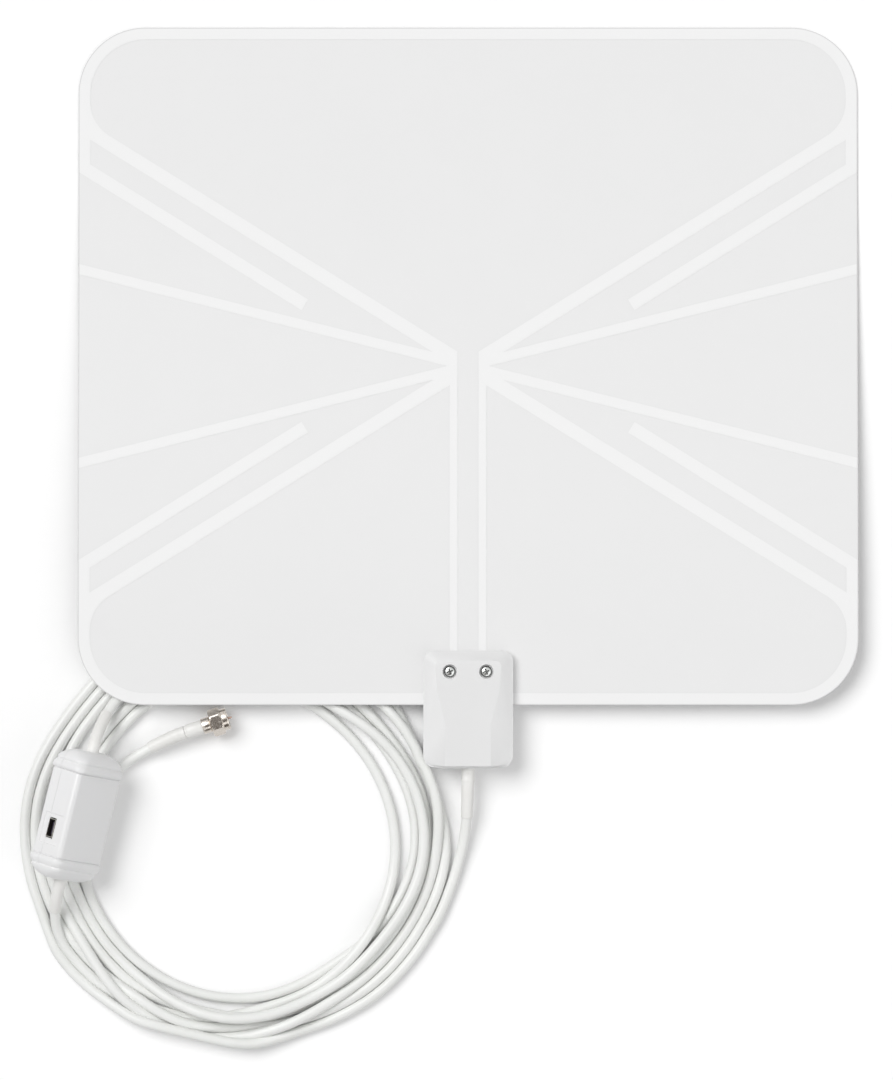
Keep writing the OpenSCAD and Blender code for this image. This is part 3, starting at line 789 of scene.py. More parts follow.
FINISHES = (
    Finish("film", Texture.PRINTED, (0.828, 0.828, 0.828), (0.821, 0.821, 0.821), 0.42,
           depth=0.004, size=0.8),
    Finish("foil", Texture.SHEET_METAL, (0.80, 0.80, 0.81), (0.76, 0.76, 0.77), 0.3, 1.0, 0.005),
    Finish("rear_film", Texture.MOULDED, (0.80, 0.80, 0.80), (0.78, 0.78, 0.78), 0.55),
    Finish("housing", Texture.MOULDED, (0.80, 0.80, 0.80), (0.79, 0.79, 0.79), 0.34,
           depth=0.006, size=0.5),
    Finish("screw", Texture.DRIVEN, (0.86, 0.87, 0.87), (0.74, 0.76, 0.74), 0.18, 1.0, 0.01, 0.3),
    Finish("contact", Texture.SHEET_METAL, (0.78, 0.58, 0.32), (0.7, 0.5, 0.27), 0.3, 1.0, 0.005),
    Finish("board", Texture.BOARD, (0.02, 0.14, 0.05), (0.05, 0.24, 0.1), 0.45, depth=0.03),
    Finish("ferrite", Texture.SINTERED, (0.03, 0.03, 0.035), (0.05, 0.05, 0.05), 0.7,
           depth=0.03, size=0.3),
    Finish("copper_wire", Texture.MOULDED, (0.45, 0.16, 0.06), (0.38, 0.12, 0.04), 0.25),
    Finish("sleeve", Texture.MOULDED, (0.85, 0.845, 0.825), (0.825, 0.82, 0.795), 0.4,
           depth=0.01, size=0.5),
    Finish("cord", Texture.JACKET, (0.872, 0.878, 0.86), (0.84, 0.847, 0.825), 0.36,
           depth=0.012, size=0.7),
    Finish("case", Texture.MOULDED, (0.845, 0.845, 0.845), (0.835, 0.835, 0.84), 0.32,
           depth=0.006, size=0.5),
    Finish("tinned_steel", Texture.SHEET_METAL, (0.6, 0.59, 0.55), (0.45, 0.44, 0.4), 0.28, 1.0,
           0.01),
    Finish("black_plastic", Texture.MOULDED, (0.03, 0.024, 0.042), (0.045, 0.036, 0.06), 0.4),
    Finish("nickel", Texture.TURNED, (0.74, 0.685, 0.625), (0.62, 0.565, 0.51), 0.22, 1.0, 0.012,
           0.35),
    Finish("insulator", Texture.MOULDED, (0.8, 0.8, 0.79), (0.77, 0.77, 0.76), 0.45),
    Finish("copper_pin", Texture.TURNED, (0.66, 0.5, 0.42), (0.56, 0.4, 0.33), 0.25, 1.0, 0.005),
)


class Palette:
    """Makes each finish's material once and hands it out by slot.

    Args:
        finishes: one for each slot.
    """

    def __init__(self, finishes: Iterable[Finish]) -> None:
        """Makes the materials."""
        self.materials = {finish.slot: finish.build() for finish in finishes}

    def dress(self, piece: bpy.types.Object, slot: str) -> bpy.types.Object:
        """Gives a piece its material.

        Args:
            piece: a mesh or curve object.
            slot: the record's material slot.

        Returns:
            The piece.
        """
        piece.data.materials.clear()
        piece.data.materials.append(self.materials[slot])
        return piece


class Shape:
    """A mesh being built in millimetres."""

    def __init__(self) -> None:
        """Starts an empty mesh."""
        self.bm = bmesh.new()

    def loft(self, rings: Sequence[Sequence[Point]]) -> "Shape":
        """Extrudes an outline from ring to ring, closed at both ends.

        Args:
            rings: the outlines in order, with equal numbers of points.

        Returns:
            This shape.
        """
        ring = [self.bm.verts.new(p) for p in rings[0]]
        first = cap = self.bm.faces.new(ring)
        for points in rings[1:]:
            grown = bmesh.ops.extrude_face_region(self.bm, geom=[cap])["geom"]
            if cap is not first and cap.is_valid:
                bmesh.ops.delete(self.bm, geom=[cap], context="FACES_ONLY")
            fresh = {g for g in grown if isinstance(g, bmesh.types.BMVert)}
            cap = next(g for g in grown if isinstance(g, bmesh.types.BMFace))
            ring = [next(e.other_vert(v) for e in v.link_edges if e.other_vert(v) in fresh)
                    for v in ring]
            for v, p in zip(ring, points):
                v.co = p
        return self

    def turned(self, profile: Sequence[tuple[float, float]], sides: int = 64,
               radius: Callable[[float, float, float], float] | None = None) -> "Shape":
        """Turns a profile about the Z axis.

        Args:
            profile: (radius, height) points; a closed loop unless it starts and ends on the axis.
            sides: steps round the axis.
            radius: changes a point's radius, from (radius, height, angle).

        Returns:
            This shape.
        """
        verts = [self.bm.verts.new((r, 0, z)) for r, z in profile]
        pairs = list(zip(verts, verts[1:]))
        if profile[0][0] > 0:
            pairs.append((verts[-1], verts[0]))
        edges = [self.bm.edges.new(pair) for pair in pairs]
        bmesh.ops.spin(
            self.bm, geom=verts + edges, cent=(0, 0, 0), axis=(0, 0, 1), dvec=(0, 0, 0),
            angle=2 * math.pi, steps=sides, use_merge=True)
        bmesh.ops.remove_doubles(self.bm, verts=self.bm.verts[:], dist=1e-4)
        for v in self.bm.verts if radius else ():
            r = math.hypot(v.co.x, v.co.y)
            grow = radius(r, v.co.z, math.atan2(v.co.y, v.co.x)) / r
            v.co.x, v.co.y = v.co.x * grow, v.co.y * grow
        return self

    def tube(self, line: np.ndarray, radii: Sequence[float], sides: int = 32) -> "Shape":
        """Sweeps circles along a line and closes both ends.

        Args:
            line: the centreline's points.
            radii: the radius at each point.
            sides: sides of a circle.

        Returns:
            This shape.
        """
        line = np.asarray(line, float)
        ways = np.gradient(line, axis=0)
        ways /= np.linalg.norm(ways, axis=1)[:, None]
        side = np.cross(ways[0], (0.0, 0.0, 1.0))
        angles = np.linspace(0, 2 * np.pi, sides, endpoint=False)[:, None]
        rings = []
        for centre, way, r in zip(line, ways, radii):
            side = side - way * (side @ way)
            side /= np.linalg.norm(side)
            across = np.cross(way, side)
            rings.append(centre + r * (np.cos(angles) * side + np.sin(angles) * across))
        return self.loft(rings)

    def cut(self, axis: int, at: float) -> "Shape":
        """Adds edges where a plane across an axis crosses the mesh.

        Args:
            axis: 0, 1 or 2 for X, Y or Z.
            at: where the plane lies on it.

        Returns:
            This shape.
        """
        normal, point = [0.0] * 3, [0.0] * 3
        normal[axis], point[axis] = 1.0, at
        bmesh.ops.bisect_plane(
            self.bm, geom=self.bm.verts[:] + self.bm.edges[:] + self.bm.faces[:], dist=1e-5,
            plane_co=point, plane_no=normal)
        return self

    def drop_faces(self, inside: Callable[[Vector], bool]) -> "Shape":
        """Deletes faces.

        Args:
            inside: tells by a face's middle whether it goes.

        Returns:
            This shape.
        """
        gone = [f for f in self.bm.faces if inside(f.calc_center_median())]
        bmesh.ops.delete(self.bm, geom=gone, context="FACES")
        return self

    def move(self, where: Callable[[Vector], Sequence[float]]) -> "Shape":
        """Moves every point.

        Args:
            where: gives a point's new place.

        Returns:
            This shape.
        """
        for v in self.bm.verts:
            v.co = where(v.co)
        return self

    def piece(self, name: str, place: Matrix | None = None, sharp: float = 30.0,
              outward: bool = True) -> bpy.types.Object:
        """Makes the object, with smooth faces and edges sharp above an angle.

        Args:
            name: the piece's name.
            place: where it goes, in millimetres.
            sharp: angle in degrees above which an edge stays sharp.
            outward: whether the faces are turned outward first.

        Returns:
            The object, at the origin, in metres.
        """
        if outward:
            bmesh.ops.recalc_face_normals(self.bm, faces=self.bm.faces[:])
        self.bm.transform(Matrix.Scale(MM, 4) @ (place or Matrix.Identity(4)))
        mesh = bpy.data.meshes.new(name)
        self.bm.to_mesh(mesh)
        self.bm.free()
        mesh.shade_smooth()
        mesh.set_sharp_from_angle(angle=math.radians(sharp))
        piece = bpy.data.objects.new(name, mesh)
        bpy.context.scene.collection.objects.link(piece)
        return piece


def soften(piece: bpy.types.Object, width: float, segments: int = 3, angle: float = 30.0) -> None:
    """Rounds a piece's edges with a Bevel modifier.

    Args:
        piece: the object.
        width: of the rounding, in millimetres.
        segments: steps of the rounding.
        angle: in degrees, above which an edge is rounded.
    """
    bevel = piece.modifiers.new("soft_edges", "BEVEL")
    bevel.width = width * MM
    bevel.segments = segments
    bevel.limit_method = "ANGLE"
    bevel.angle_limit = math.radians(angle)
    bevel.harden_normals = True
    bevel.use_clamp_overlap = True


def remade(node: str, name: str) -> Shape:
    """Copies a CAD node's mesh, welds it and joins its flat faces.

    Args:
        node: the CAD node.
        name: the piece that is made from it.

    Returns:
        The shape.
    """
    shape = Shape()
    shape.bm.from_mesh(NODES[node].data)
    shape.bm.transform(Matrix.Scale(1 / MM, 4))
    bmesh.ops.remove_doubles(shape.bm, verts=shape.bm.verts[:], dist=WELD)
    bmesh.ops.dissolve_limit(
        shape.bm, angle_limit=math.radians(0.6), verts=shape.bm.verts[:], edges=shape.bm.edges[:])
    LOG.info("%s is remade from %s with %d faces", name, node, len(shape.bm.faces))
    return shape


@dataclass
class Cords:
    """The two cords: housing to amplifier, and amplifier to plug.

    Args:
        palette: the materials.
        layout: how they lie.
        long_length: real length of the first cord in metres; not used.
        short_length: real length of the second cord in metres; not used.
        long: the first cord, once it is built.
        short: the second cord, once it is built.
    """

    palette: Palette
    layout: CordLayout = field(default_factory=CordLayout)
    long_length: float = 2.91
    short_length: float = 0.47
    long: bpy.types.Object | None = field(default=None, init=False)
    short: bpy.types.Object | None = field(default=None, init=False)

    def strand(self, name: str, points: np.ndarray) -> bpy.types.Object:
        """Makes one cord as a round curve.

        Args:
            name: the piece's name.
            points: its points in millimetres.

        Returns:
            The piece.
        """
        data = bpy.data.curves.new(name, "CURVE")
        data.dimensions = "3D"
        spline = data.splines.new("POLY")
        spline.points.add(len(points) - 1)
        spline.points.foreach_set(
            "co", np.hstack([points * MM, np.ones((len(points), 1))]).ravel())
        spline.use_smooth = True
        data.bevel_depth = self.layout.diameter / 2 * MM
        data.bevel_resolution = 5
        data.use_fill_caps = True
        cord = bpy.data.objects.new(name, data)
        bpy.context.scene.collection.objects.link(cord)
        return self.palette.dress(cord, "cord")

    def build(self) -> list[bpy.types.Object]:
        """Lays and makes both cords.

        Returns:
            The long and the short cord.
        """
        long, short = self.layout.lay()
        self.long = self.strand("long_cord", long)
        self.short = self.strand("short_cord", short)
        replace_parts(self.long, "housing_lead", "cord_coil", "amp_lead")
        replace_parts(self.short, "outgoing_lead", "plug_lead")
        for cord in (self.long, self.short):
            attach(cord, "antenna")
        for line in (long, short):
            LOG.info("cord of %d points, %.3f m", len(line), along(line)[-1] * MM)
        return [self.long, self.short]


@dataclass
class Sheet:
    """The laminate, bent up from the table to the housing, with its printed conductor.

    Args:
        palette: the materials.
        width: of the sheet.
        height: of the sheet.
        corner: radius of its corners.
        middle_y: where its middle lies along Y.
        lift: how high its lower edge is held.
        level_y: below this it is level at that height.
        touch_y: above this it lies on the table.
        strips: flat strips that its bend is made of.
        film: thickness of one film.
        trace_foot: height of a trace's foot over the sheet's back.
        trace_rise: how far a trace stands out over its foot.
        trace_slope: width of the slope beside a trace.
    """

    palette: Palette
    width: float = 351.0
    height: float = 305.0
    corner: float = 30.0
    middle_y: float = 14.25
    lift: float = 9.0
    level_y: float = -105.0
    touch_y: float = 150.0
    strips: int = 72
    film: float = 0.25
    trace_foot: float = 0.47
    trace_rise: float = 0.13
    trace_slope: float = 0.3

    def rise(self, y: float) -> float:
        """Returns the height of the sheet's back above the table."""
        s = share((self.touch_y - y) / (self.touch_y - self.level_y))
        return self.lift * (4 * s**3 - 3 * s**4)

    def bend(self, shape: Shape) -> Shape:
        """Cuts a flat shape across and bends it.

        Args:
            shape: the shape.

        Returns:
            The same shape.
        """
        for i in range(self.strips + 1):
            shape.cut(1, self.level_y + (self.touch_y - self.level_y) * i / self.strips)
        return shape.move(lambda p: (p.x, p.y, p.z + self.rise(p.y)))

    def layer(self, name: str, low: float, slot: str) -> bpy.types.Object:
        """Makes one film of the laminate.

        Args:
            name: the piece's name.
            low: its back's height over the sheet's back.
            slot: its material slot.

        Returns:
            The piece.
        """
        shape = Shape()
        x, y = self.width / 2, self.height / 2
        shape.bm.faces.new([
            shape.bm.verts.new((sx * x, self.middle_y + sy * y, low))
            for sx, sy in ((1, 1), (-1, 1), (-1, -1), (1, -1))])
        bmesh.ops.bevel(
            shape.bm, geom=shape.bm.verts[:], offset=self.corner, offset_type="OFFSET",
            segments=24, profile=0.5, affect="VERTICES", material=-1)
        grown = bmesh.ops.extrude_face_region(shape.bm, geom=shape.bm.faces[:])
        top = [g for g in grown["geom"] if isinstance(g, bmesh.types.BMVert)]
        bmesh.ops.translate(shape.bm, verts=top, vec=(0, 0, self.film))
        self.bend(shape)
        piece = self.palette.dress(shape.piece(name, sharp=40), slot)
        soften(piece, 0.09, 2, 50)
        return piece

    def traces(self) -> bpy.types.Object:
        """Makes the raised lines of the face film over the conductor.

        Returns:
            The piece.
        """
        shape = Shape()
        bm = shape.bm
        bm.from_mesh(NODES["antenna_element"].data)
        bm.transform(Matrix.Scale(1 / MM, 4))
        bm.normal_update()
        bmesh.ops.delete(bm, geom=[f for f in bm.faces if f.normal.z < 0.5], context="FACES")
        for v in bm.verts:
            v.co.z = self.trace_foot
        bmesh.ops.remove_doubles(bm, verts=bm.verts[:], dist=WELD)
        bmesh.ops.dissolve_limit(
            bm, angle_limit=math.radians(0.5), verts=bm.verts[:], edges=bm.edges[:])
        inner = bm.faces[:]
        bmesh.ops.inset_region(
            bm, faces=inner, thickness=self.trace_slope, use_boundary=True,
            use_even_offset=True, use_outset=True)
        raised = {v for f in inner for v in f.verts}
        for v in raised:
            v.co.z += self.trace_rise
        over = bm.verts.layers.float.new("over_foil")
        for v in bm.verts:
            v[over] = 1.0
        self.bend(shape)
        piece = shape.piece("face_film_traces", sharp=8, outward=False)
        return self.palette.dress(piece, "film")

    def build(self) -> list[bpy.types.Object]:
        """Makes the films and the raised traces.

        Returns:
            The pieces.
        """
        face = self.layer("face_film", self.film, "film")
        back = self.layer("back_film", 0.0, "rear_film")
        traces = self.traces()
        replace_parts(face, "front_film")
        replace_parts(back, "rear_film")
        for piece in (face, back, traces):
            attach(piece, "antenna")
        return [face, back, traces]


@dataclass
class Housing:
    """The feed housing: both shells, its screws and the cord's sleeve.

    Args:
        palette: the materials.
        low_y: where its chin ends along Y.
        chin_half: half the chin's width.
        chin_side: width over which the corners beside the chin are lowered.
        chin_drop: how far the chin stands out in the CAD.
        chin_kept: how much of that is left.
        corner_top: height above the chin's end at which the lowering starts.
        corner_reach: height over which it grows.
        recess_top: depth in a screw's head at which the painted shade starts.
        recess_reach: depth over which it grows.
        cord_sleeve: the sleeve, once it is built.
    """

    palette: Palette
    low_y: float = -166.75
    chin_half: float = 9.9
    chin_side: float = 5.6
    chin_drop: float = 2.2
    chin_kept: float = 0.6
    corner_top: float = 9.0
    corner_reach: float = 6.8
    recess_top: float = 0.12
    recess_reach: float = 0.5
    cord_sleeve: bpy.types.Object | None = field(default=None, init=False)

    def square_chin(self, p: Vector) -> Vector:
        """Lowers a shell's bottom corners beside the chin.

        Args:
            p: a point of the shell.

        Returns:
            Its new place.
        """
        beside = share((abs(p.x) - self.chin_half) / self.chin_side)
        near = share((self.low_y + self.corner_top - p.y) / self.corner_reach)
        return Vector((p.x, p.y - (self.chin_drop - self.chin_kept) * beside * near, p.z))

    def mark_recess(self, shape: Shape) -> None:
        """Notes how far each point of the screws lies below the heads' tops, as the mask of the
        painted shade in their recesses.

        Args:
            shape: the screws.
        """
        layer = shape.bm.verts.layers.float.new("recess")
        top = max(v.co.z for v in shape.bm.verts)
        for v in shape.bm.verts:
            v[layer] = share((top - v.co.z - self.recess_top) / self.recess_reach)

    def moulding(self, node: str, name: str, slot: str, width: float,
                 angle: float) -> bpy.types.Object:
        """Remakes a CAD node with rounded edges.

        Args:
            node: the CAD node.
            name: the piece's name.
            slot: its material slot.
            width: of the rounding.
            angle: in degrees, above which an edge is rounded.

        Returns:
            The piece.
        """
        shape = remade(node, name).move(self.square_chin)
        # The screws get a depth mask for the painted shade in their recesses
        if slot == "screw":
            self.mark_recess(shape)
        piece = self.palette.dress(shape.piece(name, sharp=35), slot)
        soften(piece, width, 3, angle)
        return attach(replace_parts(piece, node), "antenna")

    def sleeve(self) -> bpy.types.Object:
        """Makes the cord's sleeve, with a rib round it and a rounded mouth.

        Returns:
            The piece.
        """
        root, covered, rib_at, rib_half, mouth = (0, -160.0, 9.3), 6.7, 12.0, 0.65, 0.5
        line = curved(np.array(HOUSING_SLEEVE) / MM, 0.5)
        line = np.vstack([np.linspace(root, line[0], 12, endpoint=False), line])
        far = along(line)
        radii = 2.95 - 0.3 * np.clip((far - covered) / (far[-1] - covered), 0, 1)
        radii = np.where(np.abs(far - rib_at) < rib_half, radii + 0.16, radii)
        radii = np.where(far > far[-1] - mouth, radii - 0.12, radii)
        piece = Shape().tube(line, radii).piece("housing_sleeve", sharp=40)
        soften(self.palette.dress(piece, "sleeve"), 0.1, 2, 40)
        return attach(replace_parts(piece, "housing_cord_sleeve"), "antenna")

    def build(self) -> list[bpy.types.Object]:
        """Makes the shells, the screws and the sleeve.

        Returns:
            The pieces.
        """
        mouldings = [
            self.moulding("housing_front_shell", "housing_front", "housing", 0.9, 17),
            self.moulding("housing_rear_shell", "housing_back", "housing", 0.4, 32),
            self.moulding("housing_screws", "housing_screw_heads", "screw", 0.09, 32)]
        self.cord_sleeve = self.sleeve()
        return mouldings + [self.cord_sleeve]


@dataclass
class Amplifier:
    """The in-line amplifier: a long rounded case with rims, domed ends and a power port.

    Args:
        palette: the materials.
        half_width: half the case's width.
        half_depth: half its depth.
        half_length: half its length.
        edge: radius of its long edges.
        end_edge: that radius at the rims.
        split: height of the seam between the halves.
        seam: half the seam's width.
        wall: thickness of a half.
        rim: where a rim starts and how long it is, from the case's middle.
        dome: where an end's dome starts.
        panel: ends of the panel round the power port, along the case.
        panel_half: half the panel's height.
        panel_depth: how far it is let in.
        slot: ends of the port's slot, along the case.
        slot_top: the slot's upper edge.
    """

    palette: Palette
    half_width: float = 14.0
    half_depth: float = 9.0
    half_length: float = 29.5
    edge: float = 2.3
    end_edge: float = 4.1
    split: float = -2.4
    seam: float = 0.05
    wall: float = 1.2
    rim: tuple[float, float] = (19.6, 4.3)
    dome: float = 24.0
    panel: tuple[float, float] = (-14.7, -0.7)
    panel_half: float = 5.7
    panel_depth: float = 0.4
    slot: tuple[float, float] = (-11.95, -2.65)
    slot_top: float = 1.72

    @property
    def place(self) -> Matrix:
        """Where the case lies, in millimetres."""
        turns = [Matrix.Rotation(math.radians(degrees), 4, axis) for axis, degrees in CASE_TURNS]
        return Matrix.Translation(CASE_MIDDLE) @ turns[0] @ turns[1] @ turns[2]

    def profile(self) -> list[tuple[float, float, float]]:
        """Works out the case's outline from its middle to one end.

        Returns:
            Place along the case, growth of the section and edge radius, for each station.
        """
        out = [(0.0, 0.0, self.edge), (19.0, 0.0, self.edge), (19.3, -0.1, self.edge),
               (19.5, -0.45, self.edge)]
        start, length = self.rim
        for i in range(1, 19):
            t = i / 18
            bulge = math.sin(math.pi * t**0.8)**0.75
            out.append((start + length * t, 1.5 * bulge * (1 - 0.35 * t) - 0.35 + 0.3 * t,
                        self.edge + (self.end_edge - self.edge) * min(1.0, 3 * t)))
        for i in range(25):
            u = i / 24
            growth = 0.25 - 4.4 * u**2.3 - 1.9 * max(0.0, (u - 0.85) / 0.15)**2
            growth -= 0.3 * max(0.0, 1 - u / 0.12)**2
            depth = self.half_depth + growth
            out.append((self.dome + (self.half_length - self.dome) * u, growth,
                        min(0.97 * depth, self.end_edge + 2.4 * u)))
        return out

    def section(self, y: float, growth: float, edge: float) -> list[tuple[float, float, float]]:
        """Works out a rounded rectangle across the case.

        Args:
            y: place along the case.
            growth: how much half its size is larger than the case's.
            edge: edge radius.

        Returns:
            The section's points.
        """
        x, z = self.half_width + growth - edge, self.half_depth + growth - edge
        points = []
        for k, (sx, sz) in enumerate(((1, 1), (-1, 1), (-1, -1), (1, -1))):
            for i in range(13):
                a = math.pi / 2 * (k + i / 12)
                points.append((sx * x + edge * math.cos(a), y, sz * z + edge * math.sin(a)))
        return points

    def body(self) -> Shape:
        """Lofts the whole case and lets in the panel round its port.

        Returns:
            The case as one closed shape.
        """
        half = self.profile()
        stations = [(-y, g, r) for y, g, r in reversed(half[1:])] + half
        shape = Shape().loft([self.section(*station) for station in stations])
        low, high = self.panel
        for at in (low, low + 0.3, high - 0.3, high):
            shape.cut(1, at)
        for side in (-1, 1):
            shape.cut(2, side * self.panel_half).cut(2, side * (self.panel_half - 0.25))
        for v in shape.bm.verts:
            inside = (low + 0.29 < v.co.y < high - 0.29
                      and abs(v.co.z) < self.panel_half - 0.24)
            if v.co.x < -self.half_width + 0.01 and inside:
                v.co.x += self.panel_depth
        return shape

    def shell(self, name: str, front: bool) -> bpy.types.Object:
        """Makes one half of the case.

        Args:
            name: the piece's name.
            front: whether it is the half that faces up.

        Returns:
            The piece.
        """
        shape = self.body()
        seam = self.split + (self.seam if front else -self.seam)
        shape.cut(2, seam)
        shape.drop_faces(lambda p: (p.z < seam) == front)
        if front:
            low, high = self.slot
            shape.cut(1, low).cut(1, high).cut(2, self.slot_top)
            shape.drop_faces(lambda p: p.x < -12 and low < p.y < high and p.z < self.slot_top)
        bmesh.ops.delete(
            shape.bm, geom=[v for v in shape.bm.verts if not v.link_faces], context="VERTS")
        piece = shape.piece(name, self.place, sharp=33)
        wall = piece.modifiers.new("wall", "SOLIDIFY")
        wall.thickness = self.wall * MM
        wall.offset = -1.0
        soften(piece, 0.16, 2, 48)
        return self.palette.dress(piece, "case")

    def sleeve(self, name: str, end: int, path: Sequence[Point], node: str) -> bpy.types.Object:
        """Makes a sleeve with a small collar where it leaves the case.

        Args:
            name: the piece's name.
            end: 1 for the case's upper end and -1 for its lower one.
            path: the sleeve's points outside the case, in metres.
            node: the CAD node that it stands for.

        Returns:
            The piece.
        """
        root, radius, collar, mouth = 26.0, 2.72, 0.85, 0.4
        axis = self.place.to_3x3() @ Vector((0, end, 0))
        foot = [tuple(Vector(CASE_MIDDLE) + axis * d)
                for d in (root, root + 2.0, self.half_length + 1.0)]
        line = curved(foot + [tuple(c / MM for c in p) for p in path], 0.4)
        out = along(line) - (self.half_length - root)
        radii = radius - 0.08 * np.clip(out / out[-1], 0, 1)
        radii += collar * np.clip(1 - (out + 0.2) / 1.1, 0, 1)**1.5 * (out > -1.2)
        radii = np.where(out > out[-1] - mouth, radii - 0.1, radii)
        piece = Shape().tube(line, radii).piece(name, sharp=40)
        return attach(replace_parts(self.palette.dress(piece, "sleeve"), node), "antenna")

    def build(self) -> list[bpy.types.Object]:
        """Makes both halves and both sleeves.

        Returns:
            The pieces.
        """
        front, back = self.shell("case_front", True), self.shell("case_back", False)
        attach(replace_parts(front, "amp_front_shell"), "antenna")
        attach(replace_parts(back, "amp_rear_shell"), "antenna")
        sleeves = [self.sleeve("output_sleeve", 1, OUTPUT_SLEEVE, "amp_output_sleeve"),
                   self.sleeve("input_sleeve", -1, INPUT_SLEEVE, "amp_input_sleeve")]
        return [front, back] + sleeves

    def inner(self) -> list[bpy.types.Object]:
        """Returns the CAD nodes inside the case."""
        names = ("amp_board", "amp_shield_can", "usb_socket_shell", "usb_tongue")
        return [NODES[name] for name in names]


@dataclass
class Plug:
    """The screw-on plug: sleeve, boot, collar and the coupling nut with its thread.

    Args:
        palette: the materials.
        at: where the boot meets the collar, on the plug's axis.
        turn: degrees from +X towards +Y that the plug points.
        flats: width of the nut across its flats.
        wear: how sharp the nut's corners are.
        pitch: of the nut's thread.
        groove: half the depth of the thread's grooves.
        threaded: where the thread starts and ends along the plug.
    """

    palette: Palette
    at: tuple[float, float, float] = (-119.5, -148.1, 6.45)
    turn: float = 18.4
    flats: float = 11.0
    wear: int = 44
    pitch: float = 0.79
    groove: float = 0.13
    threaded: tuple[float, float] = (6.9, 11.6)

    @property
    def place(self) -> Matrix:
        """Where the plug lies, in millimetres, with its axis along Z."""
        return (Matrix.Translation(self.at) @ Matrix.Rotation(math.radians(self.turn), 4, "Z")
                @ Matrix.Rotation(math.pi / 2, 4, "Y"))

    def form(self, name: str, profile: Sequence[tuple[float, float]], slot: str, node: str,
             sides: int = 72,
             radius: Callable[[float, float, float], float] | None = None) -> bpy.types.Object:
        """Makes one turned piece in place of a CAD node.

        Args:
            name: the piece's name.
            profile: its (radius, height) points along the plug.
            slot: its material slot.
            node: the CAD node that it stands for.
            sides: steps round the axis.
            radius: changes a point's radius, from (radius, height, angle).

        Returns:
            The piece.
        """
        piece = Shape().turned(profile, sides, radius).piece(name, self.place, sharp=28)
        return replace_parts(self.palette.dress(piece, slot), node)

    def nut_radius(self, r: float, z: float, a: float) -> float:
        """Works out the nut's radius: six worn flats outside and a thread inside.

        Args:
            r: radius of the turned blank.
            z: height along the plug.
            a: angle round it.

        Returns:
            The radius.
        """
        if r > 5.2 and z < 9.31:
            flat = sum(max(0.0, math.cos(a - k * math.pi / 3))**self.wear for k in range(6))
            return min(r, self.flats / 2 / flat**(1 / self.wear))
        low, high = self.threaded
        if 4.4 < r < 4.75 and low < z < high:
            return r - self.groove * (1 + math.cos(2 * math.pi * z / self.pitch - a))
        return r

    def build(self) -> list[bpy.types.Object]:
        """Makes the pieces of the plug.

        Returns:
            The pieces, the nut last.
        """
        boot = self.form("plug_boot_form", [
            (0, -8.4), (2.75, -8.4), (2.9, -8.25), (2.9, -7.6), (3.12, -7.25), (3.25, -6.9),
            (3.25, -0.55), (3.17, -0.2), (2.95, 0), (0, 0)], "sleeve", "plug_boot")
        collar = self.form("plug_collar_form", [
            (2.62, 0.02), (3.35, 0.02), (3.5, 0.1), (3.6, 0.32), (3.6, 3.3), (3.55, 3.55),
            (3.35, 3.8), (3.2, 3.88), (2.62, 3.88)], "nickel", "plug_collar")
        outer = [(5.2, 4.0), (5.5, 4.0), (5.75, 4.05), (5.95, 4.2), (6.45, 4.62)]
        outer += [(6.45, 4.62 + 0.35 * k) for k in range(1, 12)]
        outer += [(6.45, 8.68), (5.95, 9.1), (5.75, 9.24), (5.5, 9.3), (4.98, 9.3)]
        ring = [(4.96, 9.42), (5.05, 9.55), (5.05, 11.0), (4.93, 11.08), (4.93, 11.22),
                (5.05, 11.3), (5.05, 11.75), (4.98, 12.0), (4.86, 12.1), (4.78, 12.1)]
        thread = [(4.74, 11.9 - 0.079 * k) for k in range(0, 66)]
        nut = self.form(
            "coupling_nut_form", [(3.0, 4.0)] + outer + ring + thread
            + [(4.76, 6.6), (4.76, 5.4), (2.93, 5.4)], "nickel", "plug_nut", 144, self.nut_radius)
        line = curved(np.array(PLUG_SLEEVE) / MM, 0.5)
        t = np.linspace(0, 1, len(line))
        ribs = 0.09 * (np.cos(2 * np.pi * t * 5) > 0.2) * (t < 0.75)
        sleeve = Shape().tube(line, 3.05 - 0.25 * t + ribs).piece("plug_sleeve_form", sharp=40)
        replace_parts(self.palette.dress(sleeve, "sleeve"), "plug_sleeve")
        for piece in (sleeve, boot, collar):
            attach(piece, "antenna")
        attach(nut, "coupling_nut")
        return [sleeve, boot, collar, nut]

    def inner(self) -> list[bpy.types.Object]:
        """Returns the CAD nodes that show inside the nut."""
        return [NODES[n] for n in ("plug_post", "plug_insulator", "plug_pin")]


@dataclass(frozen=True)
class Lamp:
    """A far lamp.

    Args:
        name: its name.
        share: light on a level surface, where 1 shows white as white.
        azimuth: degrees from +X towards +Y.
        elevation: degrees above the floor.
        spread: apparent size in degrees.
    """

    name: str
    share: float
    azimuth: float
    elevation: float
    spread: float

    def build(self) -> bpy.types.Object:
        """Makes the lamp.

        Returns:
            The lamp object.
        """
        data = bpy.data.lights.new(self.name, "SUN")
        high, round_ = math.radians(self.elevation), math.radians(self.azimuth)
        data.energy = self.share * math.pi / math.sin(high)
        data.angle = math.radians(self.spread)
        lamp = bpy.data.objects.new(self.name, data)
        bpy.context.scene.collection.objects.link(lamp)
        way = Vector((math.cos(round_) * math.cos(high), math.sin(round_) * math.cos(high),
                      math.sin(high)))
        lamp.rotation_euler = way.to_track_quat("Z", "Y").to_euler()
        return lamp


